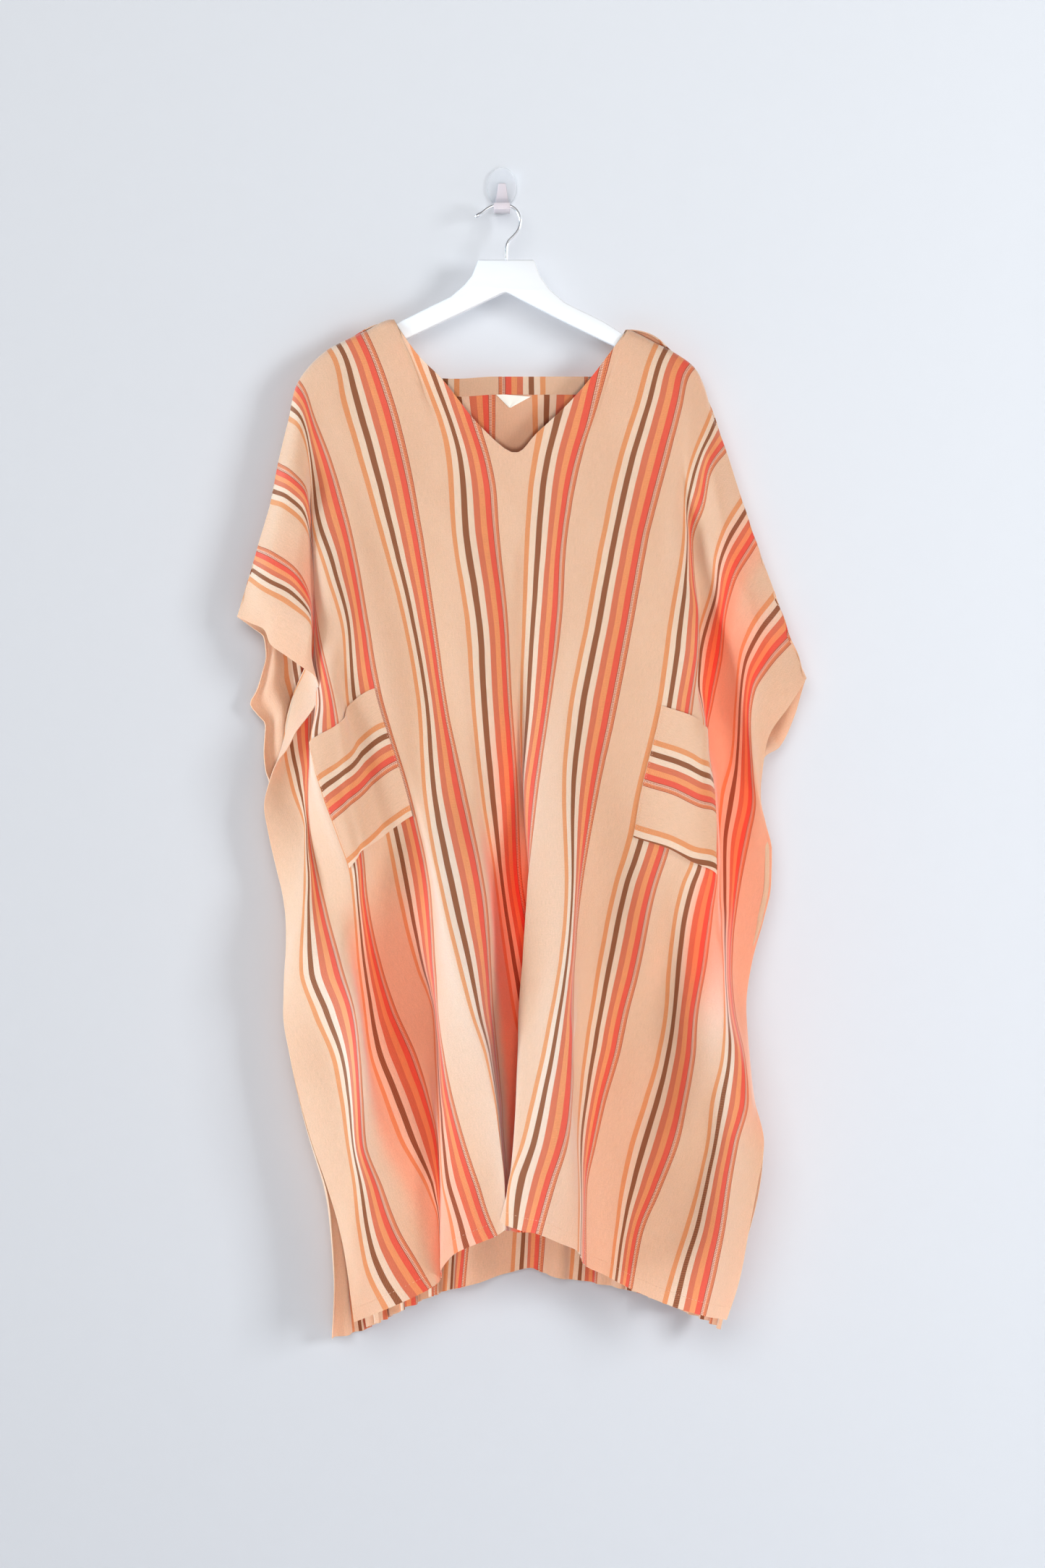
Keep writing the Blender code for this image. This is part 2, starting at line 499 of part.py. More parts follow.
def make_wall_hook():
    """A clear oval plate with a tongue that turns out into a shelf and up into a lip."""
    plate = cylinder("wall_hook", 0.5, 1.0, 40)
    plate.data.transform(turned_to_wall(PLATE_WIDTH, PLATE_HEIGHT, PLATE_THICKNESS))
    plate.data.materials.append(material("clear_plastic", 0.12))
    wire_low = (ORIGIN_DOWN - WIRE_LOW_ON_SHELF) * STEP - WIRE_RADIUS - SEAM_GAP
    shelf = wire_low - TONGUE_THICKNESS
    reach = HANGER_FROM_WALL + WIRE_RADIUS + LIP_PAST_WIRE
    root = PLATE_THICKNESS / 2
    front = PLATE_THICKNESS + TONGUE_THICKNESS
    profile = (
        (root, TONGUE_TOP), (front, TONGUE_TOP), (front, wire_low), (reach - TONGUE_THICKNESS, wire_low),
        (reach - TONGUE_THICKNESS, shelf + LIP_HEIGHT), (reach, shelf + LIP_HEIGHT), (reach, shelf),
        (root, shelf),
    )
    mesh = bpy.data.meshes.new("hook_tongue")
    built = bmesh.new()
    ring = [built.verts.new((-TONGUE_WIDTH / 2, -out, up)) for out, up in profile]
    face = built.faces.new(ring)
    moved = bmesh.ops.extrude_face_region(built, geom=[face])
    verts = [v for v in moved["geom"] if isinstance(v, bmesh.types.BMVert)]
    bmesh.ops.translate(built, verts=verts, vec=(TONGUE_WIDTH, 0, 0))
    bmesh.ops.recalc_face_normals(built, faces=built.faces[:])
    built.to_mesh(mesh)
    built.free()
    tongue = bpy.data.objects.new("hook_tongue", mesh)
    bpy.context.scene.collection.objects.link(tongue)
    tongue.hide_render = True
    tongue.display_type = "WIRE"
    joined = plate.modifiers.new("tongue", "BOOLEAN")
    joined.operation = "UNION"
    joined.object = tongue


def turned_to_wall(width, height, thickness):
    """Matrix that lays a unit cylinder against the wall as an oval plate."""
    from mathutils import Matrix

    scale = Matrix.Diagonal((width, height, thickness, 1))
    turn = Matrix.Rotation(math.radians(90), 4, "X")
    return Matrix.Translation((0, -thickness / 2, 0)) @ turn @ scale


def main():
    clear_scene()
    make_wall_hook()
    make_hanger_hook()
    make_hanger()
    front = make_panel("front", front_routes(), 1)
    back = make_panel("back", back_routes(), -1, front)
    for name in POCKETS:
        make_pocket(name, front)
    hang, face = make_facing(back)
    make_label(hang, face)


main()
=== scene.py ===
"""A striped kaftan with patch pockets on a white wooden hanger, which hangs from a clear hook on a wall.

The cloth is laid out thread by thread. A warp thread is named by its place across the cloth, in millimetres
from the middle. Its route is that of the hanging garment seen from EYE_DISTANCE: across and down in steps of
one STEP, and forward of the hanger's middle plane in millimetres. The places across and the lengths along
the threads, in metres, are also the cloth's UV map, so the stripes follow every fold.
"""

import math
import random

import bmesh
import bpy
import numpy as np
from bpy.props import FloatProperty, FloatVectorProperty, PointerProperty
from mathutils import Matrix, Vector


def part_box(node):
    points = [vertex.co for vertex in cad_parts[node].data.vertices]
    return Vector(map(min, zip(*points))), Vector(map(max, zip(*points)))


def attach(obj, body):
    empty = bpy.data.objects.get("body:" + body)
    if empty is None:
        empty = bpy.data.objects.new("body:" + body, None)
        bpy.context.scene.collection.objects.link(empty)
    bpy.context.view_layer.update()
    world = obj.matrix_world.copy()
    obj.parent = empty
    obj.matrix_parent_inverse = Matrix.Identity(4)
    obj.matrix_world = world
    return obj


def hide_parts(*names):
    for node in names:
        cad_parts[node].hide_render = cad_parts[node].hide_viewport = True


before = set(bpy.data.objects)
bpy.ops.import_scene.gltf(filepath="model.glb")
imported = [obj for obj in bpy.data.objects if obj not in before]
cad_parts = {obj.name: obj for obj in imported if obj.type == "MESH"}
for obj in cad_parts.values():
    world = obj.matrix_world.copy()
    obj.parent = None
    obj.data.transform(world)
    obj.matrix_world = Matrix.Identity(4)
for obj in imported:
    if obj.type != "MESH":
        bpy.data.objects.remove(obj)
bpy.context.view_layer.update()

bl_info = {
    "name": "Striped Kaftan on a Hanger",
    "version": (1, 0, 0),
    "blender": (4, 5, 0),
    "location": "View3D > Sidebar > Kaftan",
    "description": "Builds the cloth panels, pockets, stitches, hanger and wall hook of a hanging kaftan",
    "category": "Object",
}

# Sizes are in metres. Places across the cloth and how far a thread comes forward are in millimetres, and
# what is seen across and down is in steps.
HANGER_WIDTH = 0.430
HANGER_STEPS = 512
STEP = HANGER_WIDTH / HANGER_STEPS
ORIGIN_ACROSS = 694
ORIGIN_DOWN = 253
HANGER_FROM_WALL = 0.030
EYE_DISTANCE = 4.0
EYE_ACROSS = 722.5
EYE_DOWN = 1084
SEEN_HEIGHT = 2168

# The cloth's grid. A column nearer to a pocket's edge than EDGE_SPARES of a column's width gives way to it.
# Rows are counted from the shoulder's turn to the pocket's top, its bottom, the knee, the calf and the hem.
COLUMN_WIDTH = 5.0
EDGE_SPARES = 0.45
ROUTE_SAMPLES = 700
FRONT_ROWS = (56, 24, 32, 38, 38)
BACK_ROWS = (44, 18, 24, 28, 30)
TURN_LENGTHS = (0.0, 0.0015, 0.003, 0.0045, 0.006, 0.008, 0.010, 0.0123)
SHOULDER_TURN = ((0.6, 3.0), (2.3, 5.7), (8.0, 8.2))
ON_HANGER = (86, 240)
SELVAGE_APART = 2.8
HEM_TURN = 0.015
RIM_SMOOTHING = 50

# Small wrinkles. Columns: stretch across, stretch along, size in m. Then how much each of them counts
LONG_WRINKLES = (2.6, 0.55, 0.11)
CROSS_WRINKLES = (1.0, 1.0, 0.055)
WRINKLE_PATCHES = (1.0, 1.0, 0.30)
LONG_SHARE = 0.55
CROSS_SHARE = 0.35
PATCH_CONTRAST = 0.6
NOISE_WAVES = 9
NOISE_PITCHES = (0.7, 1.6)
SMOOTH_AT_TOP = 0.05
FRONT_SEED = 11
BACK_SEED = 29

# Upright folds of the back: their pitch, where along and how far from the middle they grow, and their sway.
# GATHER_SIDES says between which distances from the middle they reach their full depth.
GATHER_PITCH = 0.037
GATHER_STARTS = 0.10
GATHER_GROWS_OVER = 0.20
GATHER_SIDES = (0.06, 0.22)
GATHER_DEPTH = (0.0020, 0.0048)
GATHER_SWAY = 0.006
SWAY_NOISE = (0.4, 0.5, 0.25)
SWAY_SEED = 71

# The front's threads. A key is a thread's place across the cloth in mm. Its value is its route down the
# garment, from the shoulder fold or the neck edge to the hem. Columns: across, down, forward in mm.
FRONT_THREADS = {
    -517: (
        (328, 853, 0), (348, 862, 10), (366, 871, 16), (373, 889, 20), (396, 907, 26), (420, 924, 31),
        (436, 936, 32), (442, 955, 28), (437, 974, 22), (428, 988, 18), (411, 1010, 14), (396, 1038, 10),
        (384, 1053, 8), (372, 1082, 6), (365, 1115, 5), (371, 1151, 5), (382, 1198, 5), (392, 1241, 6),
        (396, 1283, 8), (394, 1339, 12), (392, 1400, 14), (401, 1460, 18), (415, 1520, 20),
        (432, 1580, 24), (452, 1640, 30), (474, 1720, 36), (490, 1828, 44),
    ),
    -477: (
        (344, 803, 0), (365, 818, 24), (400, 838, 32), (430, 868, 34), (428, 910, 14), (403, 970, 2),
        (392, 1030, -1), (402, 1090, 0), (421, 1152, 14), (420, 1220, 30), (414, 1340, 40),
        (432, 1400, 38), (457, 1460, 36), (469, 1520, 44), (478, 1580, 48), (488, 1640, 46),
        (494, 1700, 45), (507, 1765, 44), (530, 1812, 44),
    ),
    -423: (
        (357, 755, 0), (380, 765, 24), (412, 790, 28), (429, 830, 20), (434, 890, 8), (431, 960, 8),
        (429, 1053, 3), (427, 1100, 6), (430, 1152, 14), (443, 1220, 26), (474, 1340, 58), (491, 1400, 68),
        (498, 1460, 72), (502, 1520, 68), (506, 1580, 62), (528, 1640, 50), (551, 1700, 40),
        (574, 1740, 34), (597, 1780, 30),
    ),
    -377: (
        (374, 697, 0), (395, 705, 22), (420, 728, 24), (429, 762, 13), (434, 830, 8), (434, 900, 10),
        (438, 975, 28), (429, 1028, 44), (446, 1100, 48), (468, 1160, 48), (482, 1201, 46),
        (487, 1240, 44), (495, 1340, 32), (503, 1400, 24), (511, 1460, 26), (530, 1520, 30),
        (553, 1580, 38), (589, 1643, 34), (605, 1690, 27), (608, 1771, 24),
    ),
    -323: (
        (385, 640, 0), (404, 652, 20), (423, 676, 20), (431, 740, 7), (434, 800, 8), (440, 862, 20),
        (466, 985, 42), (480, 1090, 46), (502, 1176, 46), (508, 1240, 36), (529, 1340, 14),
        (549, 1400, 12), (576, 1460, 18), (594, 1520, 20), (606, 1580, 24), (609, 1640, 34),
        (610, 1700, 36), (611, 1757, 36),
    ),
    -277: (
        (399, 582, 0), (412, 592, 16), (424, 625, 14), (430, 680, 4), (434, 735, 16), (452, 800, 26),
        (472, 870, 28), (480, 976, 28), (508, 1060, 30), (533, 1151, 28), (546, 1220, 22), (576, 1340, 16),
        (598, 1400, 18), (601, 1460, 28), (604, 1520, 36), (608, 1580, 48), (612, 1640, 58),
        (623, 1700, 62), (628, 1734, 62),
    ),
    -223: (
        (414, 526, 0), (427, 545, 12), (436, 580, 13), (452, 620, 13), (487, 740, 20), (509, 860, 26),
        (525, 951, 32), (568, 1100, 36), (578, 1140, 34), (594, 1220, 38), (603, 1340, 56),
        (606, 1400, 60), (615, 1460, 66), (627, 1520, 66), (643, 1580, 67), (663, 1640, 70),
        (676, 1680, 72), (688, 1708, 74),
    ),
    -177: (
        (452, 485, 0), (460, 497, 10), (473, 560, 12), (491, 620, 13), (525, 740, 17), (557, 860, 22),
        (576, 970, 28), (585, 1100, 40), (606, 1220, 76), (634, 1340, 88), (650, 1400, 88),
        (670, 1460, 82), (683, 1520, 80), (691, 1580, 81), (697, 1640, 80), (699, 1700, 80),
    ),
    -150: (
        (478, 471, 0), (485, 483, 10), (510, 560, 12), (527, 620, 14), (555, 740, 17), (580, 860, 20),
        (598, 970, 26), (613, 1100, 42), (638, 1220, 72), (660, 1340, 74), (668, 1400, 70),
        (680, 1460, 58), (688, 1520, 58), (692, 1580, 58), (696, 1640, 60), (699, 1701, 62),
    ),
    -123: (
        (506, 458, 0), (512, 470, 10), (541, 545, 12), (561, 620, 14), (584, 740, 18), (602, 860, 22),
        (619, 980, 28), (645, 1100, 40), (669, 1220, 60), (679, 1340, 50), (683, 1400, 44),
        (688, 1460, 32), (693, 1520, 32), (697, 1580, 30), (701, 1640, 34), (703, 1702, 36),
    ),
    -88: (
        (544, 442, 0), (550, 454, 9), (603, 620, 15), (618, 740, 20), (634, 860, 25), (646, 980, 30),
        (661, 1100, 34), (679, 1220, 30), (693, 1340, 22), (702, 1400, 16), (710, 1460, 7), (712, 1520, 5),
        (713, 1580, 4), (714, 1640, 5), (711, 1703, 8),
    ),
    -84: (
        (549, 450, 8.6), (607, 620, 15), (621, 740, 20), (637, 860, 25), (648, 980, 30), (662, 1100, 33),
        (681, 1220, 27), (696, 1340, 18), (705, 1400, 12), (715, 1460, 3), (716, 1520, 2), (716, 1580, 1),
        (716, 1640, 2), (713, 1704, 5),
    ),
    -77: (
        (566, 475, 11), (615, 620, 15), (625, 740, 20), (643, 860, 25), (652, 980, 30), (665, 1100, 32),
        (684, 1220, 22), (699, 1340, 12), (708, 1400, 8), (720, 1460, 0), (721, 1520, -1), (720, 1580, -2),
        (719, 1640, -1), (716, 1704, 2),
    ),
    -50: (
        (614, 527, 14), (649, 640, 16), (659, 740, 19), (676, 860, 24), (683, 980, 27), (693, 1100, 28),
        (702, 1220, 14), (722, 1340, 1), (732, 1400, -2), (737, 1460, -3), (735, 1520, -3),
        (732, 1580, -3), (729, 1640, -2), (725, 1704, 0),
    ),
    -23: (
        (664, 589, 15), (683, 660, 16), (690, 740, 17), (702, 860, 20), (708, 980, 20), (716, 1100, 18),
        (722, 1220, 4), (744, 1340, 6), (750, 1400, 10), (752, 1460, 12), (748, 1520, 10), (744, 1580, 8),
        (741, 1640, 8), (738, 1704, 8),
    ),
    0: (
        (712, 626, 15), (710, 700, 16), (709, 800, 18), (712, 900, 18), (714, 980, 15), (722, 1100, 8),
        (738, 1220, 8), (754, 1340, 24), (757, 1400, 30), (758, 1460, 32), (754, 1520, 30),
        (751, 1580, 28), (748, 1640, 26), (746, 1703, 26),
    ),
    23: (
        (742, 599, 15), (732, 660, 16), (726, 740, 17), (722, 860, 17), (719, 980, 13), (724, 1100, 6),
        (742, 1220, 22), (750, 1340, 44), (752, 1400, 50), (754, 1460, 54), (750, 1520, 52),
        (748, 1580, 50), (746, 1640, 48), (744, 1702, 48),
    ),
    50: (
        (795, 548, 14), (770, 640, 16), (758, 740, 19), (748, 860, 24), (739, 980, 26), (726, 1100, 26),
        (732, 1220, 42), (736, 1340, 58), (738, 1400, 64), (740, 1460, 70), (736, 1520, 70),
        (734, 1580, 68), (734, 1640, 68), (732, 1700, 68),
    ),
    77: (
        (846, 484, 11), (826, 560, 14), (807, 620, 15), (784, 740, 20), (776, 860, 25), (760, 980, 32),
        (743, 1100, 46), (730, 1220, 56), (722, 1340, 62), (717, 1400, 64), (715, 1460, 66),
        (714, 1520, 72), (718, 1580, 76), (720, 1640, 80), (716, 1697, 82),
    ),
    82: (
        (861, 464, 8.8), (812, 620, 15), (789, 740, 20), (780, 860, 25), (763, 980, 33), (746, 1100, 48),
        (734, 1220, 58), (727, 1340, 66), (720, 1400, 69), (716, 1460, 72), (714, 1520, 77),
        (715, 1580, 80), (716, 1640, 83), (712, 1695, 84),
    ),
    86: (
        (866, 456, 0), (861, 468, 9), (816, 620, 15), (794, 740, 20), (783, 860, 25), (766, 980, 34),
        (750, 1100, 49), (738, 1220, 59), (731, 1340, 68), (724, 1400, 73), (718, 1460, 78),
        (714, 1520, 81), (713, 1580, 83), (713, 1640, 85), (708, 1693, 86),
    ),
    100: (
        (880, 461, 0), (874, 473, 10), (833, 620, 14), (810, 740, 20), (793, 860, 26), (774, 980, 36),
        (758, 1100, 51), (751, 1220, 62), (745, 1340, 74), (737, 1400, 80), (724, 1460, 88),
        (715, 1520, 92), (711, 1580, 93), (704, 1640, 91), (692, 1688, 90),
    ),
    123: (
        (905, 474, 0), (899, 486, 10), (877, 560, 13), (858, 620, 14), (831, 740, 20), (809, 860, 27),
        (786, 980, 38), (777, 1100, 54), (781, 1220, 68), (771, 1340, 84), (760, 1400, 93),
        (748, 1460, 98), (734, 1520, 101), (720, 1580, 101), (703, 1640, 99), (699, 1694, 98),
    ),
    150: (
        (932, 488, 0), (925, 500, 11), (909, 560, 13), (892, 620, 14), (864, 740, 19), (842, 860, 26),
        (819, 980, 36), (802, 1100, 50), (796, 1220, 66), (788, 1340, 84), (781, 1400, 94),
        (773, 1460, 102), (763, 1520, 106), (752, 1580, 106), (735, 1640, 106), (722, 1702, 105),
    ),
    177: (
        (960, 509, 0), (951, 521, 11), (942, 565, 13), (928, 620, 13), (897, 740, 18), (875, 860, 24),
        (852, 980, 32), (826, 1100, 40), (805, 1220, 50), (794, 1340, 66), (793, 1400, 76),
        (793, 1460, 86), (791, 1520, 94), (785, 1580, 100), (767, 1640, 106), (748, 1708, 108),
    ),
    200: (
        (973, 534, 0), (963, 550, 12), (952, 590, 13), (942, 640, 12), (920, 740, 16), (900, 860, 24),
        (878, 980, 30), (850, 1100, 36), (826, 1220, 40), (806, 1340, 52), (797, 1400, 58),
        (790, 1460, 68), (788, 1520, 76), (792, 1580, 84), (790, 1640, 93), (774, 1719, 98),
    ),
    223: (
        (982, 565, 0), (973, 590, 14), (952, 645, 12), (945, 690, 6), (943, 740, 14), (924, 860, 24),
        (908, 973, 30), (878, 1100, 36), (868, 1154, 38), (849, 1220, 38), (825, 1340, 46),
        (815, 1400, 50), (806, 1460, 52), (801, 1520, 54), (798, 1580, 62), (799, 1640, 74),
        (798, 1729, 86),
    ),
    277: (
        (1004, 624, 0), (984, 652, 16), (974, 700, 12), (958, 750, 2), (960, 800, 6), (966, 860, 22),
        (956, 990, 38), (935, 1100, 44), (925, 1175, 48), (910, 1220, 48), (884, 1340, 46),
        (869, 1400, 38), (856, 1460, 34), (838, 1520, 30), (824, 1580, 31), (812, 1640, 38),
        (810, 1700, 42), (810, 1750, 44),
    ),
    323: (
        (1024, 687, 0), (1000, 728, 20), (988, 765, 18), (983, 810, 8), (967, 865, 0), (962, 930, 4),
        (972, 1004, 38), (966, 1100, 52), (955, 1190, 54), (943, 1220, 50), (922, 1340, 34),
        (918, 1400, 31), (907, 1460, 32), (890, 1520, 28), (871, 1580, 26), (858, 1640, 22),
        (850, 1700, 22), (842, 1766, 24),
    ),
    377: (
        (1046, 753, 0), (1018, 800, 21), (1004, 850, 20), (998, 915, 8), (987, 965, 0), (978, 1020, 18),
        (988, 1100, 44), (992, 1160, 52), (992, 1210, 56), (986, 1260, 58), (976, 1340, 60),
        (965, 1400, 62), (961, 1460, 58), (951, 1520, 50), (938, 1580, 42), (915, 1640, 32),
        (890, 1700, 26), (874, 1783, 28),
    ),
    423: (
        (1070, 817, 0), (1040, 858, 23), (1022, 905, 22), (1017, 960, 14), (1010, 1045, 5), (996, 1100, 4),
        (993, 1160, 8), (994, 1220, 22), (1000, 1340, 78), (1001, 1400, 84), (997, 1460, 72),
        (983, 1520, 58), (976, 1580, 42), (963, 1640, 38), (946, 1700, 34), (930, 1750, 34),
        (916, 1801, 36),
    ),
    450: (
        (1082, 852, 0), (1052, 892, 24), (1034, 930, 24), (1028, 980, 22), (1026, 1055, 12),
        (1022, 1110, 6), (1012, 1160, 7), (1009, 1220, 14), (1004, 1340, 50), (1008, 1400, 60),
        (1016, 1460, 72), (1010, 1520, 70), (998, 1580, 54), (986, 1640, 50), (974, 1700, 46),
        (960, 1750, 46), (946, 1812, 48),
    ),
    477: (
        (1094, 888, 0), (1062, 925, 24), (1044, 955, 27), (1038, 1000, 26), (1042, 1070, 20),
        (1045, 1110, 10), (1036, 1160, 6), (1024, 1220, 8), (1012, 1340, 24), (1017, 1400, 36),
        (1030, 1460, 56), (1035, 1520, 70), (1021, 1580, 62), (1010, 1640, 60), (1002, 1700, 57),
        (990, 1760, 56), (975, 1820, 56),
    ),
    517: (
        (1115, 938, 0), (1090, 978, 16), (1064, 1016, 20), (1056, 1050, 14), (1052, 1102, 10),
        (1059, 1140, 6), (1067, 1175, 4), (1066, 1223, 4), (1056, 1271, 6), (1040, 1330, 10),
        (1031, 1400, 18), (1036, 1460, 34), (1043, 1520, 48), (1056, 1580, 52), (1047, 1640, 56),
        (1036, 1700, 58), (1020, 1780, 60), (1005, 1825, 60),
    ),
}

# The lines of weft that part a thread's rows: (place across, how far down), straight between neighbours
POCKET_TOP_LINE = (
    (-517, 1103), (-377, 1027), (-223, 951), (177, 951), (223, 973), (377, 1020), (517, 1090),
)
POCKET_BOTTOM_LINE = (
    (-517, 1275), (-377, 1201), (-223, 1127), (177, 1127), (223, 1154), (377, 1210), (517, 1275),
)
KNEE_DOWN = 1340
KNEE_BELOW_POCKET = 60
CALF_DOWN = 1580

# The back's threads. Their folds lie within BACK_FOLD_DEPTH of BACK_PLANE. Columns: place across in mm, the
# way its fold turns, the upper route, then pocket top, pocket bottom, knee, calf and hem as (across, down).
BACK_PLANE = -16.5
BACK_CHEST_PLANE = -13.5
BACK_NECK_DEPTH = -13
BACK_SHOULDER_DEPTH = -10
BACK_SHOULDER_DROP = 14
BACK_FOLD_DEPTH = (1.0, 5.0, 7.0, 8.0, 8.5, 8.5)
BACK_THREADS = {
    -450: (-1, ((350, 778), (408, 880)), ((428, 1066), (434, 1238), (436, 1342), (464, 1580), (504, 1838))),
    -390: (1, ((370, 712), (418, 820)), ((442, 1034), (458, 1208), (466, 1341), (490, 1580), (518, 1830))),
    -330: (-1, ((383, 650), (416, 740)), ((468, 1004), (490, 1180), (498, 1340), (514, 1580), (536, 1822))),
    -270: (1, ((401, 575), (434, 650)), ((500, 972), (522, 1148), (530, 1340), (537, 1580), (555, 1812))),
    -210: (-1, ((424, 512), (470, 620)), ((536, 951), (556, 1127), (562, 1340), (566, 1580), (580, 1800))),
    -150: (1, ((480, 471), (530, 620)), ((580, 951), (592, 1127), (594, 1340), (594, 1580), (598, 1792))),
    -88: (-1, ((542, 446), (600, 620)), ((626, 951), (630, 1127), (626, 1340), (618, 1580), (608, 1788))),
    -84: (-1, ((548, 456), (603, 620)), ((629, 951), (633, 1127), (629, 1340), (621, 1580), (610, 1787))),
    -74: (0, ((603, 523), (617, 640)), ((638, 951), (640, 1127), (636, 1340), (628, 1580), (616, 1785))),
    -60: (0, ((630, 524), (645, 640)), ((652, 951), (652, 1127), (646, 1340), (637, 1580), (624, 1783))),
    -23: (1, ((684, 521), (684, 640)), ((684, 951), (680, 1127), (672, 1340), (660, 1580), (643, 1779))),
    23: (-1, ((735, 521), (737, 640)), ((734, 951), (730, 1127), (724, 1340), (716, 1580), (706, 1759))),
    60: (0, ((790, 521), (778, 640)), ((768, 951), (762, 1127), (754, 1340), (744, 1580), (736, 1753))),
    74: (0, ((822, 521), (797, 640)), ((782, 951), (776, 1127), (767, 1340), (757, 1580), (747, 1758))),
    84: (1, ((858, 470), (808, 620)), ((792, 951), (786, 1127), (776, 1340), (766, 1580), (756, 1762))),
    88: (1, ((866, 456), (812, 620)), ((796, 951), (790, 1127), (780, 1340), (770, 1580), (760, 1764))),
    150: (-1, ((933, 490), (890, 620)), ((850, 951), (842, 1127), (832, 1340), (822, 1580), (808, 1771))),
    210: (1, ((976, 549), (950, 630)), ((900, 968), (888, 1149), (876, 1340), (868, 1580), (852, 1780))),
    270: (-1, ((1001, 617), (982, 690)), ((940, 988), (926, 1173), (912, 1340), (908, 1580), (890, 1790))),
    330: (1, ((1027, 694), (1004, 770)), ((968, 1006), (956, 1192), (944, 1340), (944, 1580), (922, 1803))),
    390: (-1, ((1052, 768), (1028, 840)), ((998, 1026), (986, 1214), (974, 1340), (978, 1580), (950, 1815))),
    450: (
        1, ((1080, 845), (1052, 905)), ((1026, 1058), (1016, 1240), (1006, 1340), (1014, 1580), (978, 1826)),
    ),
}
# The back's selvages hang free at the sleeve, follow the front's down the side seam, and leave it at the hem
BACK_SELVAGE_UPPER = {
    -517: (
        (328, 853, 0), (349, 868, 2), (366, 882, 0), (369, 906, -6), (362, 935, -10), (354, 958, -12),
        (346, 973, -13), (356, 988, -14), (367, 1002, -14), (365, 1040, -12), (368, 1068, -6),
    ),
    517: ((1115, 938, 0), (1100, 985, -12), (1078, 1032, -12)),
}
BACK_SELVAGE_HEM = {
    -517: ((440, 1604, 20), (454, 1657, 14), (459, 1721, 6), (462, 1782, 0), (460, 1851, -6)),
    517: ((998, 1838, 16),),
}
SIDE_SEAM_STARTS_BELOW = 8
SIDE_SEAM_ENDS_DOWN = 1590

# Painted warm shade between the front's folds: (from, to across in mm, from, to along in m, how much)
PAINTED_SHADE_FOLDS = (
    (-108, 62, 0.60, 1.30, 0.95), (-60, 30, 0.46, 0.62, 0.45), (-400, -245, 0.62, 1.30, 0.42),
    (345, 470, 0.24, 0.70, 0.70), (470, 530, 0.42, 0.80, 0.45), (-440, -350, 0.18, 0.36, 0.45),
    (240, 340, 0.80, 1.30, 0.10), (330, 392, 0.12, 0.30, 0.35),
)
# Softness of the painted shade's edges: across in mm, along in m
PAINTED_SHADE_SOFTNESS = (26, 0.12)
# The painted highlight on ridges: how many columns each side a point is compared with, and how far forward
# of them in m gets it in full
RIDGE_REACH = 16
RIDGE_HEIGHT = 0.026

POCKETS = {"pocket_left": (-375, -230), "pocket_right": (230, 374)}
POCKET_TOP_ALONG = 0.400
POCKET_STANDS_OUT = 0.0018
POCKET_BULGE = 0.0022
POCKET_BELLY_STARTS = 0.2
POCKET_REPEAT_SHIFT = 0.040

FACING_EDGES = (-74, 74)
FACING_HEIGHT = 0.021
FACING_ROWS = 8
FACING_INSIDE = 0.0018
FACING_MIDDLE = 690
FACING_STRIPES_START = -0.023

LABEL_CORNERS = ((685, 543), (734, 547))
LABEL_TIP = (704, 562)
LABEL_TIP_WIDTH = 0.0015
LABEL_GRID = (9, 8)
LABEL_CURL = 0.0004
LABEL_CURL_TURN = 1.4
LABEL_THICKNESS = 0.0009

# Stitches: (pitch in m, how much of the pitch is thread)
HEM_STITCH = (0.0040, 0.62)
POCKET_STITCH = (0.0034, 0.60)
STITCH_WIDTH = 0.0006
STITCH_SINKS = 0.45
STITCH_WOBBLE = 0.0002
HEM_SEEDS = {"front": 3, "back": 4}
POCKET_SEED = 5
POCKET_STITCH_INSET = 2
POCKET_STITCH_ALONG = (0.402, 0.543)
POCKET_STITCH_LIFT = 0.0004

# How edges are rounded: (width in m, segments, angle that counts as an edge, angle that is shaded smooth)
HANGER_ROUNDING = (0.0018, 3, 40, 40)
PLATE_ROUNDING = (0.0012, 4, 30, 50)
TONGUE_ROUNDING = (0.0007, 4, 30, 50)

HANGER_THICKNESS = 0.012
HANGER_OUTLINE = (
    (661.5, 359), (738.5, 359), (746.5, 381), (760, 399.6), (781, 418), (835, 444.5), (864, 463), (908, 483),
    (934, 499), (943, 511), (940, 522), (930, 520), (853.6, 480), (780, 444), (705, 405.5), (699.6, 403.5),
    (694, 405), (640, 431), (564, 467), (462, 514), (446, 518), (440, 510), (446, 502), (464, 489),
    (506, 467), (550, 446), (593.8, 424), (623, 410), (642, 394), (652.7, 381),
)
HOOK_WIRE = (
    (657, 300), (666, 294.5), (675, 287.8), (684, 284.4), (694, 284), (704, 284.4), (712, 288.6),
    (717.5, 296), (719.5, 305), (717.5, 316), (711, 325.5), (703.5, 333), (700.3, 342), (700, 352),
    (700, 359),
)
WIRE_RADIUS = 0.00175
WIRE_POINTS = 120
WIRE_ROUNDNESS = 6
STEM_DEPTH = 0.010
WIRE_LOW_ON_SHELF = 285.4
# The ball at the wire's end: (at which point it is thickest, how far it reaches in points, how much thicker)
WIRE_BALL = (4, 3.2, 0.45)
WIRE_TIP_RADII = {0: -0.75, 1: -0.25}

PLATE_WIDTH = 0.034
PLATE_HEIGHT = 0.047
PLATE_THICKNESS = 0.003
PLATE_SIDES = 96
PLATE_TRANSMISSION = 0.72
TONGUE_WIDTH = 0.019
TONGUE_THICKNESS = 0.002
TONGUE_TOP = 0.004
TONGUE_TOP_NARROWS = 0.45
TONGUE_OFF_PLATE = 0.0002
WIRE_OFF_SHELF = 0.0003
LIP_HEIGHT = 0.0076
LIP_PAST_WIRE = 0.004

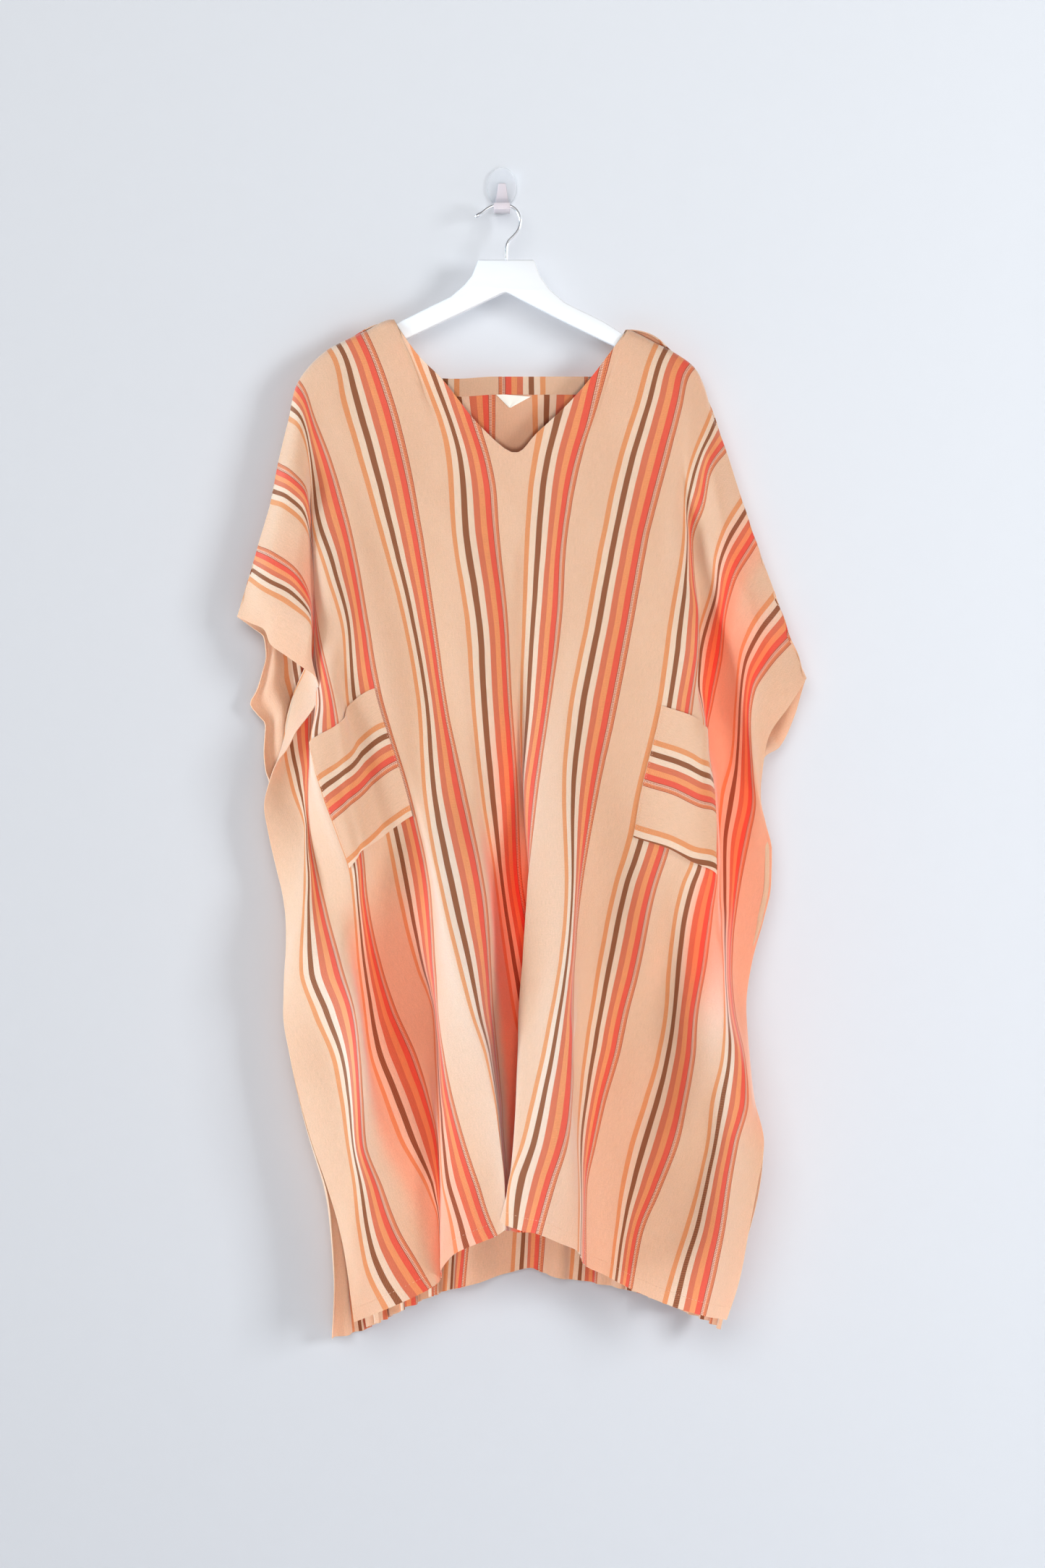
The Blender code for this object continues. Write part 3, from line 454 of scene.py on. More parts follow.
# Stripes across one repeat of the warp, 100 mm, in order: (name, width in mm, yarn crossing it)
REPEAT = 0.100
REPEAT_STARTS = -0.077
STRIPES = (
    ("tan", 6.0, "tan_shade"), ("cream", 7.0, "cream_shade"), ("brown", 6.5, "brown_light"),
    ("cream", 6.5, "cream_shade"), ("rust", 7.0, "rust_light"), ("orange", 6.5, "orange_rib"),
    ("red", 6.8, "red_light"), ("dark_line", 0.7, "rust"), ("cream", 1.3, "ladder_gap"),
    ("dark_line", 0.5, "rust"), ("cream", 1.5, "ladder_gap"), ("rust", 1.9, "orange"),
    ("dark_line", 0.5, "rust_light"), ("rust", 1.0, "orange"), ("dark_line", 0.8, "rust"),
    ("ground", 45.5, "ground_shade"),
)
# How each stripe is woven: (diagonal dashes, ribs across, ladder rungs), each from 0 to 1
WEAVES = {
    "tan": (0.25, 0.3, 0.0), "cream": (0.3, 0.1, 0.0), "brown": (0.85, 0.0, 0.0), "rust": (0.6, 0.0, 0.0),
    "orange": (0.0, 0.8, 0.0), "red": (0.45, 0.0, 0.0), "dark_line": (0.0, 0.0, 0.5),
    "ground": (0.35, 0.1, 0.0),
}
LADDER_STRIPES = (8, 10, 11, 13)
LADDER_WEAVE = (0.0, 0.0, 1.0)
# The weave's sizes in metres: how far apart dashes, ribs and rungs lie, and where in that length they begin
DASH_PITCH_ACROSS = 0.0016
DASH_PITCH_ALONG = 0.0021
DASH_BEGINS = 0.58
RIB_PITCH = 0.00155
RUNG_PITCH = 0.0019
RUNG_BEGINS = 0.55
# Unevenness of the yarn: (noise scale, detail)
WANDER = (26.0, 1.0)
WANDER_WIDTH = 0.0012
SLUBS = (1.0, 2.0)
SLUB_STRETCH = (1500.0, 90.0, 1.0)
GRAIN = (620.0, 2.0)
CLOUDS = (9.0, 3.0)
LEAST_SHADE = 0.72
SLUB_SHADE = 0.26
GRAIN_SHADE = 0.26
CLOUD_SHADE = 0.06
GRAIN_HEIGHT = 0.6
DASH_HEIGHT = 0.5
WEAVE_BUMP = (0.35, 0.0005)
# How much painted light pales the cloth's inner side
PAINTED_INNER_LIGHT_SHARE = 0.55

# Settings of the cotton's shader, by socket name
COTTON = {
    "Roughness": 0.88, "Subsurface Weight": 0.35, "Subsurface Radius": (1.0, 0.5, 0.32),
    "Subsurface Scale": 0.006, "Sheen Weight": 0.35, "Sheen Roughness": 0.45,
    "Sheen Tint": (1.0, 0.96, 0.92, 1.0), "Specular IOR Level": 0.25,
}
# Finishes with a fine grain. Columns: brightness of its hollows, grain scale, stretch, bump strength, bump
# distance in m, and the shader's other settings
FINISHES = {
    "sewing_thread": (0.82, 1500.0, (1, 1, 1), 0.4, 0.0003, {"Roughness": 0.75, "Sheen Weight": 0.3}),
    "label_tape": (0.9, 900.0, (1, 1, 6), 0.3, 0.0003, {"Roughness": 0.6, "Sheen Weight": 0.2}),
    "white_paint": (0.95, 160.0, (1, 1, 5), 0.12, 0.0004, {"Roughness": 0.42, "Coat Weight": 0.15}),
    "chrome": (0.92, 400.0, (1, 1, 1), 0.01, 0.0001, {"Roughness": 0.27, "Metallic": 1.0}),
    "clear_plastic": (0.97, 90.0, (1, 1, 1), 0.05, 0.0003, {"Roughness": 0.1, "IOR": 1.46}),
    "tongue_plastic": (
        0.95, 90.0, (1, 1, 1), 0.05, 0.0003, {"Roughness": 0.2, "IOR": 1.46, "Transmission Weight": 0.5},
    ),
    "wall_surface": (0.985, 40.0, (1, 1, 1), 0.02, 0.0005, {"Roughness": 0.8}),
    "floor_surface": (0.985, 40.0, (1, 1, 1), 0.02, 0.0005, {"Roughness": 0.8}),
}
BROAD_GRAIN = (30.0, 2.0)
FINE_DETAIL = 3.0

STAGE_SIZE = 9.0
WALL_PLACE = (0, 0.0012, -0.2)
FLOOR_PLACE = (0, 0, -1.80)
SKY_COLOUR = (1.0, 0.99, 0.98, 1.0)
LAMPS_AIM = (0.03, -0.06, -0.75)
CLEAR_PIECES = ("hook_plate", "hook_tongue")
# The lamps: (name, place, width and height, its power's property, colour, what it lights)
LAMPS = (
    ("key_light", (-3.1, -0.85, -0.65), (1.0, 2.0), "key_power", (0.66, 0.86, 1.0), "object"),
    ("cloth_fill", (0.1, -4.1, -1.4), (0.7, 0.7), "cloth_power", (1.0, 0.95, 0.89), "object"),
    ("wall_fill", (-0.8, -4.2, 1.0), (3.0, 2.6), "wall_power", (1.0, 1.0, 1.0), "room"),
    ("back_light", (1.4, 3.6, 0.4), (2.4, 2.4), "back_power", (1.0, 0.99, 0.98), "opaque pieces"),
    ("side_light", (3.6, -2.6, 0.1), (1.2, 1.6), "side_power", (0.93, 0.97, 1.0), "everything"),
    ("fill_light", (0.3, -4.6, 0.6), (3.0, 2.6), "fill_power", (1.0, 0.99, 0.98), "everything"),
)


def linear(red, green, blue):
    """A colour given as a display shows it, each part from 0 to 255, made linear."""
    values = []
    for value in (red, green, blue):
        share = value / 255
        values.append(share / 12.92 if share <= 0.04045 else ((share + 0.055) / 1.055) ** 2.4)
    return tuple(values)


def colour_property(name, description, shade):
    return FloatVectorProperty(
        name=name, description=description, default=linear(*shade), size=3, min=0, max=1, subtype="COLOR"
    )


def tint_property(name, description, factors):
    return FloatVectorProperty(
        name=name, description=description, default=factors, size=3, min=0, max=2, subtype="COLOR"
    )


def length_property(name, description, default, least, most):
    return FloatProperty(
        name=name, description=description, default=default, min=least, max=most, unit="LENGTH"
    )


def power_property(name, description, default):
    return FloatProperty(name=name, description=description, default=default, unit="POWER")


class KaftanCloth(bpy.types.PropertyGroup):
    thickness: length_property("Thickness", "Thickness of the cloth", 0.0012, 0.0005, 0.003)
    wrinkles: length_property("Wrinkles", "Depth of the small wrinkles", 0.0011, 0, 0.004)
    ground: colour_property("Ground", "Peach ground of the cloth", (217, 172, 144))
    ground_shade: colour_property("Ground shade", "Yarn crossing the ground", (203, 152, 123))
    tan: colour_property("Tan", "Tan stripe", (214, 140, 94))
    tan_shade: colour_property("Tan shade", "Yarn crossing the tan stripe", (196, 116, 72))
    cream: colour_property("Cream", "Cream stripes", (222, 188, 165))
    cream_shade: colour_property("Cream shade", "Yarn crossing the cream stripes", (204, 158, 128))
    brown: colour_property("Brown", "Brown stripe", (118, 64, 38))
    brown_light: colour_property("Brown light", "Dashes on the brown stripe", (160, 102, 68))
    rust: colour_property("Rust", "Rust stripe", (196, 100, 72))
    rust_light: colour_property("Rust light", "Dashes on the rust stripe", (210, 118, 86))
    orange: colour_property("Orange", "Orange stripe", (224, 142, 94))
    orange_rib: colour_property("Orange rib", "Ribs across the orange stripe", (212, 122, 78))
    red: colour_property("Red", "Red stripe", (214, 78, 60))
    red_light: colour_property("Red light", "Dashes on the red stripe", (218, 100, 78))
    dark_line: colour_property("Dark line", "Lines beside the ladder stripe", (138, 58, 40))
    ladder_gap: colour_property("Ladder gap", "Gaps between the ladder's rungs", (182, 92, 64))
    # Painted light: this paler colour is mixed into the inner side, standing in for light shining through
    # the thin cloth
    reverse: colour_property("Reverse", "Paleness of the cloth's inner side", (250, 222, 198))
    # Painted light: the first tints the cloth as painted warm shade in deep folds, the second as a painted
    # highlight on ridges that stand forward
    painted_fold_shade: tint_property("Fold warmth", "Tint of the light in a deep fold", (1.45, 0.50, 0.38))
    painted_ridge_highlight: tint_property("Ridge paleness", "Tint of the cloth on a ridge", (1.05, 1.21, 1.40))
    thread: colour_property("Thread", "Sewing thread", (238, 186, 150))
    label: colour_property("Label", "Blank label tape", (240, 232, 220))


class KaftanHanger(bpy.types.PropertyGroup):
    paint: colour_property("Paint", "White paint of the hanger", (232, 233, 236))
    chrome: colour_property("Chrome", "Chrome of the wire hook", (228, 229, 233))
    plastic: colour_property("Plastic", "Clear plastic of the wall hook", (240, 238, 242))
    tongue: colour_property("Tongue", "Pinkish tongue of the wall hook", (250, 240, 244))


class KaftanStage(bpy.types.PropertyGroup):
    key_power: power_property("Key", "Power of the light from the left", 132)
    side_power: power_property("Side", "Power of the light from the right", 88)
    fill_power: power_property("Fill", "Power of the frontal fill", 16)
    cloth_power: power_property("Cloth fill", "Power of the fill on the object", 86)
    wall_power: power_property("Wall fill", "Power of the fill on the wall", 62)
    back_power: power_property("Back", "Power of the light behind the wall", 60)
    sky: FloatProperty(name="Sky", description="Strength of the even light all round", default=0.20, min=0)
    wall: colour_property("Wall", "Pale wall behind the garment", (238, 241, 246))
    floor: colour_property("Floor", "Pale floor under the garment", (236, 238, 242))


def place(across, down, forward):
    """World position of a point of the hanging garment. What comes forward looks larger to the eye."""
    nearer = 1 - forward / 1000 / EYE_DISTANCE
    x = (EYE_ACROSS - ORIGIN_ACROSS + (across - EYE_ACROSS) * nearer) * STEP
    z = (ORIGIN_DOWN - EYE_DOWN - (down - EYE_DOWN) * nearer) * STEP
    return np.array((x, -HANGER_FROM_WALL - forward / 1000, z))


def smooth_through(knots, values, wanted):
    """Values at wanted places on a smooth curve through the knots, along the first axis."""
    knots = np.asarray(knots, float)
    values = np.asarray(values, float)
    steps = np.diff(knots)
    slopes = np.diff(values, axis=0) / steps.reshape((-1,) + (1,) * (values.ndim - 1))
    tangents = np.empty_like(values)
    tangents[0] = slopes[0]
    tangents[-1] = slopes[-1]
    weight = (steps[1:] / (steps[1:] + steps[:-1])).reshape((-1,) + (1,) * (values.ndim - 1))
    mean = weight * slopes[:-1] + (1 - weight) * slopes[1:]
    least = np.minimum(np.abs(slopes[:-1]), np.abs(slopes[1:]))
    tangents[1:-1] = np.where(slopes[:-1] * slopes[1:] > 0, np.clip(mean, -2 * least, 2 * least), 0)
    cell = np.clip(np.searchsorted(knots, wanted, side="right") - 1, 0, len(steps) - 1)
    shape = (-1,) + (1,) * (values.ndim - 1)
    width = steps[cell].reshape(shape)
    t = ((wanted - knots[cell]) / steps[cell]).reshape(shape)
    return (
        (2 * t**3 - 3 * t**2 + 1) * values[cell]
        + (t**3 - 2 * t**2 + t) * width * tangents[cell]
        + (-2 * t**3 + 3 * t**2) * values[cell + 1]
        + (t**3 - t**2) * width * tangents[cell + 1]
    )


def weft_downs(u):
    """How far down the pocket's top and bottom lines, the knee and the calf lie on a thread."""
    top = np.interp(u, *zip(*POCKET_TOP_LINE))
    bottom = np.interp(u, *zip(*POCKET_BOTTOM_LINE))
    return (top, bottom, max(KNEE_DOWN, bottom + KNEE_BELOW_POCKET), CALF_DOWN)


def thread_points(route, downs, row_counts):
    """Points of a thread at each row, and their lengths along it counted from the pocket's top line."""
    downs_on_route = np.array([point[1] for point in route], float)
    points = np.array([place(*point) for point in route])
    lengths = np.concatenate(([0], np.cumsum(np.linalg.norm(np.diff(points, axis=0), axis=1))))
    fine = np.unique(np.concatenate((np.linspace(0, lengths[-1], ROUTE_SAMPLES), lengths)))
    curve = smooth_through(lengths, points, fine)
    fine_downs = smooth_through(lengths, downs_on_route, fine)
    run = np.concatenate(([0], np.cumsum(np.linalg.norm(np.diff(curve, axis=0), axis=1))))
    marks = [TURN_LENGTHS[-1]] + [np.interp(down, fine_downs, run) for down in downs] + [run[-1]]
    places = list(TURN_LENGTHS)
    for first, last, count in zip(marks[:-1], marks[1:], row_counts):
        places.extend(first + (last - first) * (i + 1) / count for i in range(count))
    rows = np.stack([np.interp(places, run, curve[:, axis]) for axis in range(3)], axis=1)
    return rows, np.array(places) - marks[1] + POCKET_TOP_ALONG


def over_shoulder(route):
    """The route with its start rounded over the hanger: up from behind, then down in front."""
    (across, down, _), (next_across, next_down, _) = route[:2]
    length = math.hypot(next_across - across, next_down - down)
    lean = (next_across - across) / length
    fall = (next_down - down) / length
    side = math.copysign(1, route[1][2])
    turned = [(across, down, 0)]
    for drop, forward in SHOULDER_TURN:
        steps = drop / (1000 * STEP)
        turned.append((across + lean * steps, down + fall * steps, side * forward))
    return turned + list(route[2:])


def over_hanger(u):
    return ON_HANGER[0] <= abs(u) < ON_HANGER[1]


def grid_normals(points, outward):
    across = np.gradient(points, axis=0)
    down = np.gradient(points, axis=1)
    normals = outward * np.cross(down, across)
    return normals / np.linalg.norm(normals, axis=2, keepdims=True)


class Cloth:
    """A panel as a grid of points: rows down the threads, columns across them."""

    def __init__(self, routes, row_counts, outward, edges=()):
        self.threads = sorted(routes)
        made = [thread_points(routes[u][0], routes[u][1], row_counts) for u in self.threads]
        net = np.stack([points for points, _ in made])
        along = np.stack([lengths for _, lengths in made])
        count = round((self.threads[-1] - self.threads[0]) / COLUMN_WIDTH)
        columns = list(np.linspace(self.threads[0], self.threads[-1], count + 1))
        near = EDGE_SPARES * COLUMN_WIDTH
        near_edge = [u for u in columns if any(abs(u - edge) < near for edge in edges)]
        self.columns = np.array(sorted(set(columns) - set(near_edge) | set(map(float, edges))))
        self.columns[0] = self.threads[0]
        self.columns[-1] = self.threads[-1]
        self.points = smooth_through(self.threads, net, self.columns)
        self.along = smooth_through(self.threads, along, self.columns)
        self.outward = outward
        self.normals = grid_normals(self.points, outward)

    def relax(self, relief):
        """The panel with a relief of soft troughs and ridges, given in metres at each point."""
        self.points = self.points + self.normals * relief[..., None]
        self.normals = grid_normals(self.points, self.outward)

    def at(self, u, along):
        """Point and normal of the cloth's middle at a place across and a length along."""
        column = int(np.clip(np.searchsorted(self.columns, u) - 1, 0, len(self.columns) - 2))
        share = (u - self.columns[column]) / (self.columns[column + 1] - self.columns[column])
        found = []
        for values in (self.points, self.normals):
            sides = [
                np.array([np.interp(along, self.along[i], values[i, :, axis]) for axis in range(3)])
                for i in (column, column + 1)
            ]
            found.append(sides[0] * (1 - share) + sides[1] * share)
        return found[0], found[1] / np.linalg.norm(found[1])


def front_cloth():
    routes = {}
    for u, route in FRONT_THREADS.items():
        routes[u] = (over_shoulder(route) if over_hanger(u) else route, weft_downs(u))
    edges = [edge for pocket in POCKETS.values() for edge in pocket]
    return Cloth(routes, FRONT_ROWS, 1, edges)


def back_cloth():
    routes = {}
    for u, (turn, (top, chest), lower) in BACK_THREADS.items():
        start = 0 if abs(u) >= ON_HANGER[0] else BACK_NECK_DEPTH
        route = [(*top, start)]
        if over_hanger(u):
            route.append((top[0], top[1] + BACK_SHOULDER_DROP, BACK_SHOULDER_DEPTH))
            route = over_shoulder(route)
        route.append((*chest, BACK_CHEST_PLANE + turn * BACK_FOLD_DEPTH[0]))
        route += [(*spot, BACK_PLANE + turn * depth) for spot, depth in zip(lower, BACK_FOLD_DEPTH[1:])]
        routes[u] = (route, [spot[1] for spot in lower[:4]])
    for u, upper in BACK_SELVAGE_UPPER.items():
        start = max(point[1] for point in upper) + SIDE_SEAM_STARTS_BELOW
        shared = [point for point in FRONT_THREADS[u] if start < point[1] < SIDE_SEAM_ENDS_DOWN]
        behind = [(across, down, forward - SELVAGE_APART) for across, down, forward in shared]
        routes[u] = (list(upper) + behind + list(BACK_SELVAGE_HEM[u]), weft_downs(u))
    return Cloth(routes, BACK_ROWS, -1, FACING_EDGES)


def soft_noise(cloth, kind, seed):
    """Smooth unevenness from about -1 to 1 over a cloth. kind gives its stretches and its bumps' size."""
    stretch_across, stretch_along, size = kind
    across = cloth.columns[:, None] / 1000 * stretch_across
    along = cloth.along * stretch_along
    draw = random.Random(seed)
    total = np.zeros(along.shape)
    for _ in range(NOISE_WAVES):
        turn = draw.uniform(0, math.tau)
        pitch = size * draw.uniform(*NOISE_PITCHES)
        phase = draw.uniform(0, math.tau)
        total += np.sin((across * math.cos(turn) + along * math.sin(turn)) * math.tau / pitch + phase)
    return total / math.sqrt(NOISE_WAVES)


def wrinkles(cloth, depth, seed):
    """Small wrinkles that run mostly down the threads, uneven in length and strength."""
    long_folds = soft_noise(cloth, LONG_WRINKLES, seed)
    crossing = soft_noise(cloth, CROSS_WRINKLES, seed + 1)
    where = np.clip(0.5 + PATCH_CONTRAST * soft_noise(cloth, WRINKLE_PATCHES, seed + 2), 0, 1)
    edge = np.minimum(1, (cloth.along - cloth.along[:, :1]) / SMOOTH_AT_TOP)
    return depth * edge * (LONG_SHARE * long_folds + CROSS_SHARE * crossing * where)


def gathers(cloth):
    """Narrow upright folds of the back, deepest at its sides, where much cloth hangs in little width."""
    across = cloth.columns[:, None] / 1000
    sway = GATHER_SWAY * soft_noise(cloth, SWAY_NOISE, SWAY_SEED)
    start = np.clip((cloth.along - GATHER_STARTS) / GATHER_GROWS_OVER, 0, 1)
    depth = np.interp(np.abs(across), GATHER_SIDES, GATHER_DEPTH)
    return depth * start * np.sin(math.tau * (across + sway) / GATHER_PITCH)


def soft_band(values, start, end, softness):
    """1 between start and end and 0 outside them, with soft steps."""
    rise = np.clip((values - start) / softness + 0.5, 0, 1)
    fall = np.clip((end - values) / softness + 0.5, 0, 1)
    step = np.minimum(rise, fall)
    return step * step * (3 - 2 * step)


def painted_light_shares(cloth):
    """Painted warm shade per point from the fold table, and painted highlight by how far out on a ridge it
    lies, 0 to 1.
    """
    across = cloth.columns[:, None]
    warmth = np.zeros(cloth.along.shape)
    for left, right, start, end, share in PAINTED_SHADE_FOLDS:
        beside = soft_band(across, left, right, PAINTED_SHADE_SOFTNESS[0])
        warmth += share * beside * soft_band(cloth.along, start, end, PAINTED_SHADE_SOFTNESS[1])
    forward = -cloth.points[:, :, 1]
    ridge = np.empty_like(forward)
    for i in range(len(forward)):
        around = forward[max(0, i - RIDGE_REACH) : i + RIDGE_REACH + 1].mean(axis=0)
        ridge[i] = (forward[i] - around) / RIDGE_HEIGHT
    return paired(np.clip(warmth, 0, 1), np.clip(ridge, 0, 1))


def paired(across, along):
    """Two grids, or a column and a grid, as one grid of pairs."""
    return np.stack(np.broadcast_arrays(across, along), axis=-1)


def grid_object(name, points, outward, **uv_maps):
    """A sheet of quads over a grid of points, facing outward. Each UV map is a grid of pairs."""
    columns, rows = points.shape[:2]
    index = np.arange(columns * rows).reshape(columns, rows)
    corners = (index[:-1, :-1], index[:-1, 1:], index[1:, 1:], index[1:, :-1])
    if outward < 0:
        corners = corners[::-1]
    quads = np.stack(corners, axis=-1).reshape(-1, 4)
    mesh = bpy.data.meshes.new(name)
    mesh.from_pydata(points.reshape(-1, 3).tolist(), [], quads.tolist())
    for label, pairs in uv_maps.items():
        layer = mesh.uv_layers.new(name=label)
        layer.data.foreach_set("uv", pairs.reshape(-1, 2)[quads.ravel()].ravel())
    return linked(name, mesh)


def linked(name, mesh):
    mesh.shade_smooth()
    obj = bpy.data.objects.new(name, mesh)
    bpy.context.scene.collection.objects.link(obj)
    return obj


def select_only(obj):
    bpy.ops.object.select_all(action="DESELECT")
    obj.select_set(True)
    bpy.context.view_layer.objects.active = obj


def apply_modifier(obj, modifier, smoothing):
    """Applies a modifier, and shades the result smooth but for its sharp edges."""
    select_only(obj)
    bpy.ops.object.modifier_apply(modifier=modifier.name)
    bpy.ops.object.shade_smooth_by_angle(angle=math.radians(smoothing))


def thicken(obj, thickness, inner_slot=0):
    """The sheet as a wall with crisp rims. Its inner face may have a material slot of its own."""
    wall = obj.modifiers.new("wall", "SOLIDIFY")
    wall.thickness = thickness
    wall.offset = 0
    wall.material_offset = inner_slot
    apply_modifier(obj, wall, RIM_SMOOTHING)


def round_edges(obj, width, segments, sharp, smoothing):
    """Rounds the edges that turn more than the angle sharp."""
    rounding = obj.modifiers.new("rounded_edges", "BEVEL")
    rounding.width = width
    rounding.segments = segments
    rounding.limit_method = "ANGLE"
    rounding.angle_limit = math.radians(sharp)
    apply_modifier(obj, rounding, smoothing)


def finish_piece(obj, material, slot, *nodes):
    obj.data.materials.clear()
    obj.data.materials.append(material)
    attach(obj, "root")
    if nodes:
        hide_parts(*nodes)
    return obj


def add_node(tree, kind, label, inputs=None, **settings):
    """A labelled shader node. Each input is given a value, or joined to a socket."""
    node = tree.nodes.new(kind)
    node.label = label
    for key, value in settings.items():
        setattr(node, key, value)
    for key, value in (inputs or {}).items():
        if isinstance(value, bpy.types.NodeSocket):
            tree.links.new(value, node.inputs[key])
        else:
            node.inputs[key].default_value = value
    return node


def maths(tree, operation, first, second=0.0, third=None, clamp=False):
    """A Math node of two or three values, each a number or a socket, as its output."""
    values = {0: first, 1: second}
    if third is not None:
        values[2] = third
    settings = {"operation": operation, "use_clamp": clamp}
    return add_node(tree, "ShaderNodeMath", operation.lower(), values, **settings).outputs[0]


def colour_mix(tree, share, first, second, blend="MIX"):
    values = {0: share, 6: first, 7: second}
    return add_node(tree, "ShaderNodeMix", "mix", values, data_type="RGBA", blend_type=blend).outputs[2]


def noise(tree, label, vector, scale, detail):
    inputs = {"Vector": vector, "Scale": scale, "Detail": detail}
    return add_node(tree, "ShaderNodeTexNoise", label, inputs).outputs[0]


def stretched(tree, vector, stretch):
    inputs = {0: vector, 1: stretch}
    return add_node(tree, "ShaderNodeVectorMath", "stretch", inputs, operation="MULTIPLY").outputs[0]


def bump_of(tree, height, strength, distance):
    inputs = {"Strength": strength, "Distance": distance, "Height": height}
    return add_node(tree, "ShaderNodeBump", "bump", inputs).outputs[0]


def group_tree(name, inputs, outputs):
    """A shader node group with named sockets. Inputs are (name, socket kind, default)."""
    tree = bpy.data.node_groups.new(name, "ShaderNodeTree")
    for label, kind, default in inputs:
        socket = tree.interface.new_socket(label, in_out="INPUT", socket_type=kind)
        socket.default_value = default
    for label, kind in outputs:
        tree.interface.new_socket(label, in_out="OUTPUT", socket_type=kind)
    start = tree.nodes.new("NodeGroupInput")
    end = tree.nodes.new("NodeGroupOutput")
    return tree, start.outputs, end.inputs


def step_ramp(tree, socket, stops):
    """A ramp of flat colours: stops are (place, colour)."""
    node = add_node(tree, "ShaderNodeValToRGB", "stripes", {0: socket})
    ramp = node.color_ramp
    ramp.interpolation = "CONSTANT"
    while len(ramp.elements) < len(stops):
        ramp.elements.new(0.5)
    for element, (spot, colour) in zip(ramp.elements, stops):
        element.position = spot
        element.color = (*colour, 1.0)
    return node.outputs[0]


def place_in_repeat(tree, threads, across):
    """Where in the repeat of stripes a place across lies, from 0 to 1. The stripes wander a little."""
    wander = noise(tree, "wander", threads, *WANDER)
    wandering = maths(tree, "MULTIPLY_ADD", wander, WANDER_WIDTH, -WANDER_WIDTH / 2)
    from_start = maths(tree, "SUBTRACT", maths(tree, "ADD", across, wandering), REPEAT_STARTS)
    return maths(tree, "DIVIDE", maths(tree, "FLOORED_MODULO", from_start, REPEAT), REPEAT)


def weave_patterns(tree, across, along):
    """Diagonal dashes, ribs across and ladder rungs, each as a pattern from 0 to 1."""
    slant_along = maths(tree, "DIVIDE", along, DASH_PITCH_ALONG)
    slant = maths(tree, "MULTIPLY_ADD", across, 1 / DASH_PITCH_ACROSS, slant_along)
    dashes = maths(tree, "GREATER_THAN", maths(tree, "FRACT", slant), DASH_BEGINS)
    wave = maths(tree, "SINE", maths(tree, "MULTIPLY", along, math.tau / RIB_PITCH))
    ribs = maths(tree, "MULTIPLY_ADD", wave, 0.5, 0.5)
    rung = maths(tree, "FRACT", maths(tree, "DIVIDE", along, RUNG_PITCH))
    return dashes, ribs, maths(tree, "GREATER_THAN", rung, RUNG_BEGINS)


def stripe_group(cloth):
    """The woven stripes as colour and height, from a place across and a length along the threads."""
    found = bpy.data.node_groups.get("woven_stripes")
    if found:
        return found
    tree, given, made = group_tree(
        "woven_stripes",
        (("Threads", "NodeSocketVector", (0, 0, 0)),),
        (("Colour", "NodeSocketColor"), ("Height", "NodeSocketFloat")),
    )
    threads = given["Threads"]
    split = add_node(tree, "ShaderNodeSeparateXYZ", "threads", {0: threads})
    across, along = split.outputs[:2]
    in_repeat = place_in_repeat(tree, threads, across)
    stops = []
    spot = 0.0
    for i, (name, width, crossing) in enumerate(STRIPES):
        weave = LADDER_WEAVE if i in LADDER_STRIPES else WEAVES[name]
        stops.append((spot, getattr(cloth, name), getattr(cloth, crossing), weave))
        spot += width / 1000 / REPEAT
    ground, crossing, weave = (
        step_ramp(tree, in_repeat, [(stop[0], stop[column]) for stop in stops]) for column in (1, 2, 3)
    )
    strengths = add_node(tree, "ShaderNodeSeparateColor", "weave", {0: weave}).outputs[:3]
    patterns = weave_patterns(tree, across, along)
    shares = [maths(tree, "MULTIPLY", *pair) for pair in zip(patterns, strengths)]
    share = maths(tree, "ADD", maths(tree, "ADD", shares[0], shares[1]), shares[2], clamp=True)
    woven = colour_mix(tree, share, ground, crossing)
    grain = noise(tree, "grain", threads, *GRAIN)
    slubs = noise(tree, "slubs", stretched(tree, threads, SLUB_STRETCH), *SLUBS)
    uneven = maths(tree, "MULTIPLY_ADD", slubs, SLUB_SHADE, LEAST_SHADE)
    uneven = maths(tree, "MULTIPLY_ADD", grain, GRAIN_SHADE, uneven)
    uneven = maths(tree, "MULTIPLY_ADD", noise(tree, "clouds", threads, *CLOUDS), CLOUD_SHADE, uneven)
    shade = add_node(tree, "ShaderNodeCombineColor", "shade", {0: uneven, 1: uneven, 2: uneven})
    tree.links.new(colour_mix(tree, 1.0, woven, shade.outputs[0], "MULTIPLY"), made["Colour"])
    height = maths(tree, "MULTIPLY_ADD", grain, GRAIN_HEIGHT, maths(tree, "MULTIPLY", share, DASH_HEIGHT))
    tree.links.new(height, made["Height"])
    return tree


def new_material(name, settings):
    """A material with a Principled shader, set by the shader's own socket names. One that exists is kept."""
    material = bpy.data.materials.get(name)
    if material:
        return material, None
    material = bpy.data.materials.new(name)
    material.use_nodes = True
    shader = material.node_tree.nodes["Principled BSDF"]
    for key, value in settings.items():
        shader.inputs[key].default_value = value
    return material, shader


